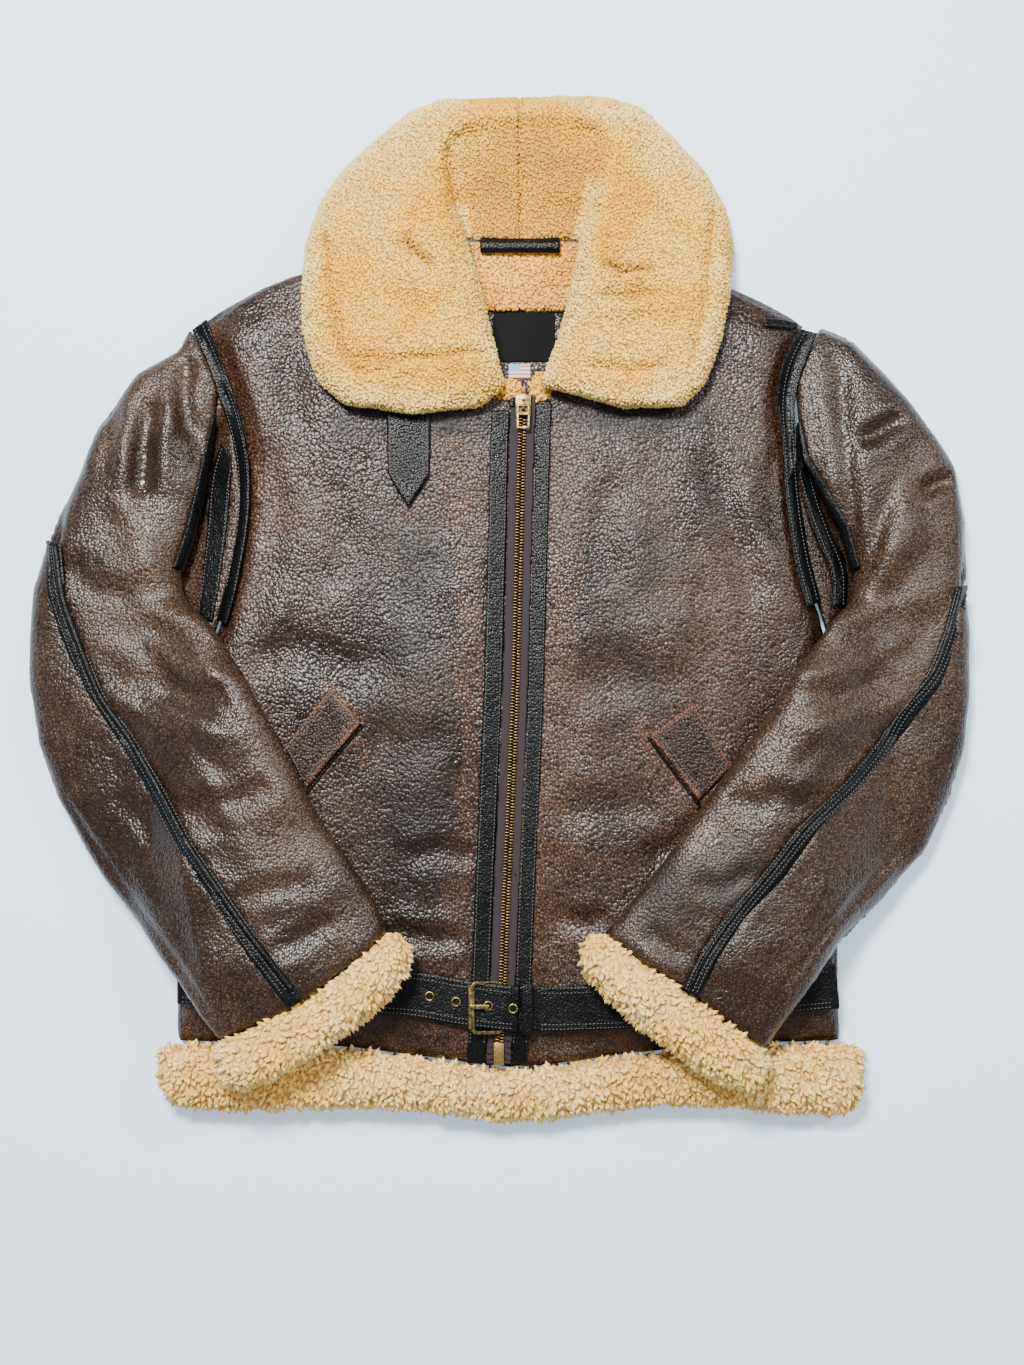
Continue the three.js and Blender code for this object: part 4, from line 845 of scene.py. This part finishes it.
def stitched(name, lines, skin, gap=3.7):
    """Rows of stitches laid along lines of places, each just sunk in what it holds."""
    turns = []
    for line in lines:
        line = [Vector(p) for p in line]
        ends = [(b - a).length for a, b in zip(line, line[1:])]
        reach = gap / 2
        while reach < sum(ends) - gap / 3:
            rest, i = reach, 0
            while rest > ends[i]:
                rest, i = rest - ends[i], i + 1
            way = (line[i + 1] - line[i]).normalized()
            here = line[i] + way * rest
            point, outward = touched(skin, *here)
            ahead, _ = touched(skin, *(here + way))
            reach += gap
            if point is None or ahead is None or outward.z < 0.25 or (ahead - point).length > 0.003:
                continue
            forward = (ahead - point).normalized()
            across = outward.cross(forward).normalized()
            up = forward.cross(across)
            turn = Matrix((forward, across, up)).transposed().to_4x4()
            turn.translation = point + up * 0.00012
            turns.append(turn)
    return copies(name, stitch, turns, thread)


def inside(corners, inset):
    """A closed outline drawn in by a distance, corner by corner."""
    corners = [Vector(c) for c in corners]
    middle = sum(corners, Vector((0, 0))) / len(corners)
    made = []
    for i, corner in enumerate(corners):
        before, after = corners[i - 1], corners[(i + 1) % len(corners)]
        a, b = (corner - before).normalized(), (after - corner).normalized()
        na, nb = Vector((-a.y, a.x)), Vector((-b.y, b.x))
        if na.dot(middle - corner) < 0:
            na, nb = -na, -nb
        both = (na + nb).normalized()
        made.append(corner + both * inset / max(both.dot(na), 0.35))
    return made


throat = strap("throat_tab_leather", "throat_tab", 0.001, 3, 0.5)
tab_shape = [(386.5, 400), (386.5, 473), (407.5, 506), (430.5, 473), (430.5, 400)]
stitched("throat_tab_stitches", [inside(tab_shape, 3.4), inside(tab_shape, 7.6)], skin_of(throat), 3.4)
welt_hide = hide("welt_hide", deep=(0.024, 0.011, 0.007), middle=(0.060, 0.028, 0.017),
                 wear_and_painted_light=(0.25, 0.10, 0.046), cell=0.0022, relief=0.00036, gloss=0.34, patch=20.0,
                 shine=0.25)
welts = []
for side, corners in (("right", [(331, 688), (361, 723), (302, 793), (280, 750)]),
                      ("left", [(695, 703), (650, 735), (702, 804), (732, 762)])):
    welt = skin_over(f"{side}_pocket_leather", f"{side}_pocket_welt", 0.001, 3, 0.5)
    marked(welt, "wear_and_painted_light", [(corners + corners[:1], 4.0, 0.95)])
    fitted(welt, f"{side}_pocket_welt", welt_hide)
    welts.append(welt)
    rows = [inside(corners, inset) for inset in (3.6, 7.4)]
    stitched(f"{side}_pocket_stitches", [row + row[:1] for row in rows], skin_of(welt), 3.4)


def corded(name, line, skin, radius, lift):
    """A round cord of black leather laid along a line of places, and sunk or lifted in metres."""
    points = []
    for across, down in line:
        point, outward = touched(skin, across, down)
        if point is not None:
            points.append(point + Vector((0, 0, lift)))
    rope = bmesh.new()
    bmesh.ops.create_circle(rope, cap_ends=True, radius=radius, segments=10)
    edge = rope.edges[:]
    ring = rope.verts[:]

    def frame_at(i):
        forward = (points[min(i + 1, len(points) - 1)] - points[max(i - 1, 0)]).normalized()
        side = Vector((0, 0, 1)).cross(forward).normalized()
        turn = Matrix((side, forward.cross(side), forward)).transposed().to_4x4()
        turn.translation = points[i]
        return turn

    bmesh.ops.transform(rope, matrix=frame_at(0), verts=ring)
    for i in range(1, len(points)):
        grown = bmesh.ops.extrude_edge_only(rope, edges=edge)["geom"]
        ring = [g for g in grown if isinstance(g, bmesh.types.BMVert)]
        edge = [g for g in grown if isinstance(g, bmesh.types.BMEdge)]
        bmesh.ops.transform(rope, matrix=frame_at(i) @ frame_at(i - 1).inverted(), verts=ring)
    bmesh.ops.contextual_create(rope, geom=edge)
    bmesh.ops.recalc_face_normals(rope, faces=rope.faces)
    piece = linked(bpy.data.objects.new(name, shaped(name, rope, 60)))
    piece.data.materials.append(black_hide)
    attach(piece, "jacket")


def evenly(line, gap):
    """A line of places divided into short, equal steps, and rounded at its corners."""
    line = np.array(line, float)
    steps = np.concatenate([[0], np.cumsum(np.linalg.norm(np.diff(line, axis=0), axis=1))])
    reach = np.linspace(0, steps[-1], max(int(steps[-1] / gap), 2))
    made = np.stack([np.interp(reach, steps, line[:, k]) for k in (0, 1)], 1)
    for _ in range(6):
        made[1:-1] = (made[:-2] + 2 * made[1:-1] + made[2:]) / 4
    return [tuple(p) for p in made]


for side, welt, edge_line in (("right", welts[0], [(363, 725), (335, 757), (304, 796)]),
                              ("left", welts[1], [(648, 737), (672, 770), (700, 806)])):
    front = bpy.data.objects[f"{side}_front_hide"]
    corded(f"{side}_pocket_cord", evenly(edge_line, 4), skin_of(front, welt), 0.0014, 0.0004)

# The stitching of the seam straps
# The armhole, gusset and sleeve straps are stitched down along both edges, and the long ones of the
# sleeves carry a raised cord of the same leather on the side next to the top panel.
sleeve_lines = {
    "right": [(51, 541), (58, 599), (72, 637), (96, 699), (127, 741), (158, 796), (185, 848),
              (213, 889), (244, 934), (289, 992)],
    "left": [(963, 589), (951, 634), (936, 675), (901, 713), (884, 747), (853, 785), (808, 827),
             (774, 871), (736, 916), (705, 961), (691, 992)],
}


def beside(line, away):
    """A line of places moved sideways by a distance."""
    line = np.array(evenly(line, 6))
    way = np.gradient(line, axis=0)
    way /= np.linalg.norm(way, axis=1)[:, None]
    return [tuple(p) for p in line + np.stack([-way[:, 1], way[:, 0]], 1) * away]


for side, cord_away, rows, thick in (("right", -3.4, (-7.6, 1.4, 6.6), 0.0029),
                                     ("left", 2.4, (5.6, -1.2, -5.4), 0.0022)):
    line, tape_skin = sleeve_lines[side], skin_of(bpy.data.objects[f"{side}_sleeve_tape"])
    stitched(f"{side}_sleeve_stitches", [beside(line, away) for away in rows], tape_skin)
    corded(f"{side}_sleeve_cord", beside(line, cord_away), tape_skin, thick, -0.0009)
strap_lines = {
    "right_armhole": [(199, 327), (212, 358), (224, 390), (235, 425), (242.5, 460), (244.5, 495),
                      (242, 530), (236, 560), (230, 590)],
    "right_gusset": [(229, 450), (220, 480), (218, 517), (213, 563), (208, 603)],
    "left_armhole": [(810, 331), (792, 367), (786, 401), (789, 437), (791, 477), (795, 518),
                     (802, 558), (814, 604)],
    "left_gusset": [(803, 468), (812, 503), (827, 543), (840, 570), (839, 606)],
}
for part, line in strap_lines.items():
    half = 7.5 if part == "right_gusset" else 4.2
    rows = [beside(line, away) for away in (-half, half)]
    stitched(f"{part}_stitches", rows, skin_of(bpy.data.objects[f"{part}_tape"]))

# The zip
# A long brass zip on a purple-brown woven tape, set between two facings of black leather. The
# slider is at the top, and its window-shaped pull hangs on an arch and swings; a box ends it.
zip_line = [(524, 390), (522, 433), (515, 700), (506, 900), (503, 980), (498, 1066)]


def zip_at(down):
    """Where the middle of the zip lies."""
    return float(np.interp(down, [p[1] for p in zip_line], [p[0] for p in zip_line]))


tape_cloth, tree, shader, place = new_material("zip_tape_cloth")
rib = ribs(tree, place, 420.0, 0.5, "Y")
fill(tree, shader, {"Base Color": blended(tree, rib, (0.008, 0.0045, 0.0052), (0.026, 0.0145, 0.0165)),
                    "Normal": raised(tree, rib, 0.0002, 0.5), "Roughness": 0.8})
for side, edges, wide in (("right", (-29.3, -15.2), 15), ("left", (14.2, 26.8), 12.4)):
    tape = skin_over(f"{side}_tape_cloth", f"{side}_zip_tape", 0.0010, 2, 0.2)
    fitted(tape, f"{side}_zip_tape", tape_cloth)
    facing = strap(f"{side}_zip_leather", f"{side}_zip_facing",
                   0.0012, 3, 0.35)
    rows = [[(zip_at(down) + edge, down) for down in range(404, 1062, 20)] for edge in edges]
    stitched(f"{side}_zip_stitches", rows, skin_of(facing))


def metal(name, bright, dull, roughness):
    """Cast metal, rubbed bright on its faces and darker where it has tarnished."""
    material, tree, shader, place = new_material(name)
    stain = between(tree, grain(tree, place, 320.0, 4.0), 0.0, 1.0, 0.35, 0.68)
    fine = grain(tree, place, 1500.0, 3.0)
    fill(tree, shader, {
        "Base Color": blended(tree, stain, dull, bright),
        "Roughness": between(tree, fine, roughness - 0.08, roughness + 0.14, 0.3, 0.7),
        "Normal": raised(tree, fine, 0.0001, 0.25),
        "Metallic": 1.0,
    })
    return material


def eased(name, node, material, width=0.0004, body="jacket"):
    """A cast or cut piece at its solid's place, with its edges rounded off."""
    solid = bmesh.new()
    solid.from_mesh(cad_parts[node].data)
    bmesh.ops.remove_doubles(solid, verts=solid.verts, dist=0.00002)
    bmesh.ops.dissolve_limit(solid, angle_limit=math.radians(3), verts=solid.verts,
                             edges=solid.edges)
    piece = linked(bpy.data.objects.new(name, shaped(name, solid)))
    round_off = piece.modifiers.new("round_off", "BEVEL")
    round_off.width = width
    round_off.segments = 2
    round_off.limit_method = "ANGLE"
    round_off.angle_limit = math.radians(28)
    baked(piece)
    piece.data.name = name
    piece.data.shade_smooth()
    piece.data.set_sharp_from_angle(angle=math.radians(35))
    piece.data.materials.clear()
    piece.data.materials.append(material)
    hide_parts(node)
    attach(piece, body)
    return piece


antique = metal("antique_brass", (0.50, 0.38, 0.15), (0.17, 0.125, 0.055), 0.30)
brass = metal("zip_brass", (0.46, 0.31, 0.105), (0.17, 0.11, 0.04), 0.36)
dull_brass = metal("dull_brass", (0.34, 0.24, 0.09), (0.12, 0.085, 0.034), 0.42)
gold = metal("bright_gold", (0.90, 0.62, 0.20), (0.68, 0.43, 0.12), 0.22)
one_tooth = bmesh.new()
bmesh.ops.create_cube(one_tooth, size=1)
bmesh.ops.scale(one_tooth, verts=one_tooth.verts, vec=(0.0037, 0.0010, 0.0022))
bmesh.ops.bevel(one_tooth, geom=one_tooth.edges[:], offset=0.0003, segments=1, profile=0.5,
                affect="EDGES", material=-1)
tooth = shaped("tooth", one_tooth, 50)
chain_skin = skin_of(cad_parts["zip_chain"])
turns = []
for i in range(418):
    down = 418.5 + i * 1.5
    across = zip_at(down) + (2.2 if i % 2 else -2.2)
    point = touched(chain_skin, zip_at(down), down)[0]
    if point is None:
        continue
    slope = math.atan((zip_at(down + 5) - zip_at(down - 5)) / 10)
    turn = Matrix.Rotation(slope, 4, "Z")
    turn.translation = point + Vector(((across - zip_at(down)) * STEP, 0, -0.0009))
    turns.append(turn)
teeth = copies("zip_teeth", tooth, turns, brass)
teeth.data.set_sharp_from_angle(angle=math.radians(50))
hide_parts("zip_chain")
eased("zip_slider_brass", "zip_slider", dull_brass, 0.0006)
eased("zip_pull_brass", "zip_pull", dull_brass, 0.0003, body="zip_pull")
eased("zip_box_gold", "zip_box", gold, 0.0005)

# The belt
# The belt is black leather doubled over and stitched twice along each edge. Its holed end comes
# from the wearer's right through a brass buckle on the left part, and is held by a keeper.
belt_line = [(176, 981), (240, 985), (330, 989), (405, 993), (430, 996.5), (456, 1002),
             (488, 1006), (515, 1009), (560, 1009), (620, 1007), (740, 995), (838, 986)]
belt_rows = [beside(belt_line, away) for away in (-20.3, -15.8, 15.8, 20.3)]
belts = [strap(f"{side}_belt_leather", f"belt_{side}", 0.0014, 3)
         for side, length in (("right", 292), ("left", 281))]
for side, part, first, last in (("right", belts[0], 178, 516), ("left", belts[1], 535, 836)):
    rows = [[p for p in row if first < p[0] < last] for row in belt_rows]
    stitched(f"{side}_belt_stitches", rows, skin_of(part))
keeper = eased("belt_keeper_leather", "belt_keeper", black_hide, 0.0005)
for number in range(1, 5):
    eased(f"belt_eyelet_ring_{number}", f"belt_eyelet_{number}", antique, 0.0003)
eased("buckle_frame_brass", "buckle_frame", antique, 0.0006)
eased("buckle_prong_brass", "buckle_prong", antique, 0.0005)

# The hem and the cuffs
# Bands of long, paler fleece: one round the hem, sewn to each front and to the back, and one
# turned back over the end of each sleeve, where the tufts lean away from the leather.
cream = fleece("cream_fleece", root=(0.66, 0.38, 0.10), middle=(0.93, 0.58, 0.15),
               tip=(1.0, 0.83, 0.42), painted_shade_colour=(0.6, 0.4, 0.15), crumb=0.004)
tuft_rings = [(-0.002, 0.0022), (0.0016, 0.0029), (0.0042, 0.0018), (0.0066, 0.0006)]
tuft = lock("hem_tuft", tuft_rings, cream, 0.3)
hem_split = (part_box("right_hem")[1][0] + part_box("left_hem")[0][0]) / 2
for name, seed, spacing in (("right_hem", 51, 3.9), ("left_hem", 61, 3.9), ("back_hem", 71, 5.0)):
    band = skin_over(f"{name}_fleece", name, 0.0042, 5)
    tucked(band, 3.6, hem_split)
    rumpled(band, 22, 2.4, seed, -0.5)
    rumpled(band, 60, 2.0, seed + 2, -0.3)
    fitted(band, name, cream)
    furred(band, f"{name}_tufts", tuft, spacing, (0.65, 1.1), seed, comb=(0, -0.8, 0), clump=0.8)
for side, comb, seed in (("right", (-0.3, -1.0, 0.1), 81), ("left", (0.3, -1.0, 0.1), 91)):
    cuff = skin_over(f"{side}_cuff_fleece", f"{side}_cuff", 0.0042, 5)
    tucked(cuff, 3.2)
    rumpled(cuff, 22, 2.2, seed, -0.5)
    fitted(cuff, f"{side}_cuff", cream)
    furred(cuff, f"{side}_cuff_tufts", tuft, 3.8, (0.65, 1.1), seed, comb=comb, clump=0.7,
           stray=0.22)

# Sizes
# The box of all that is shown.
low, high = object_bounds()
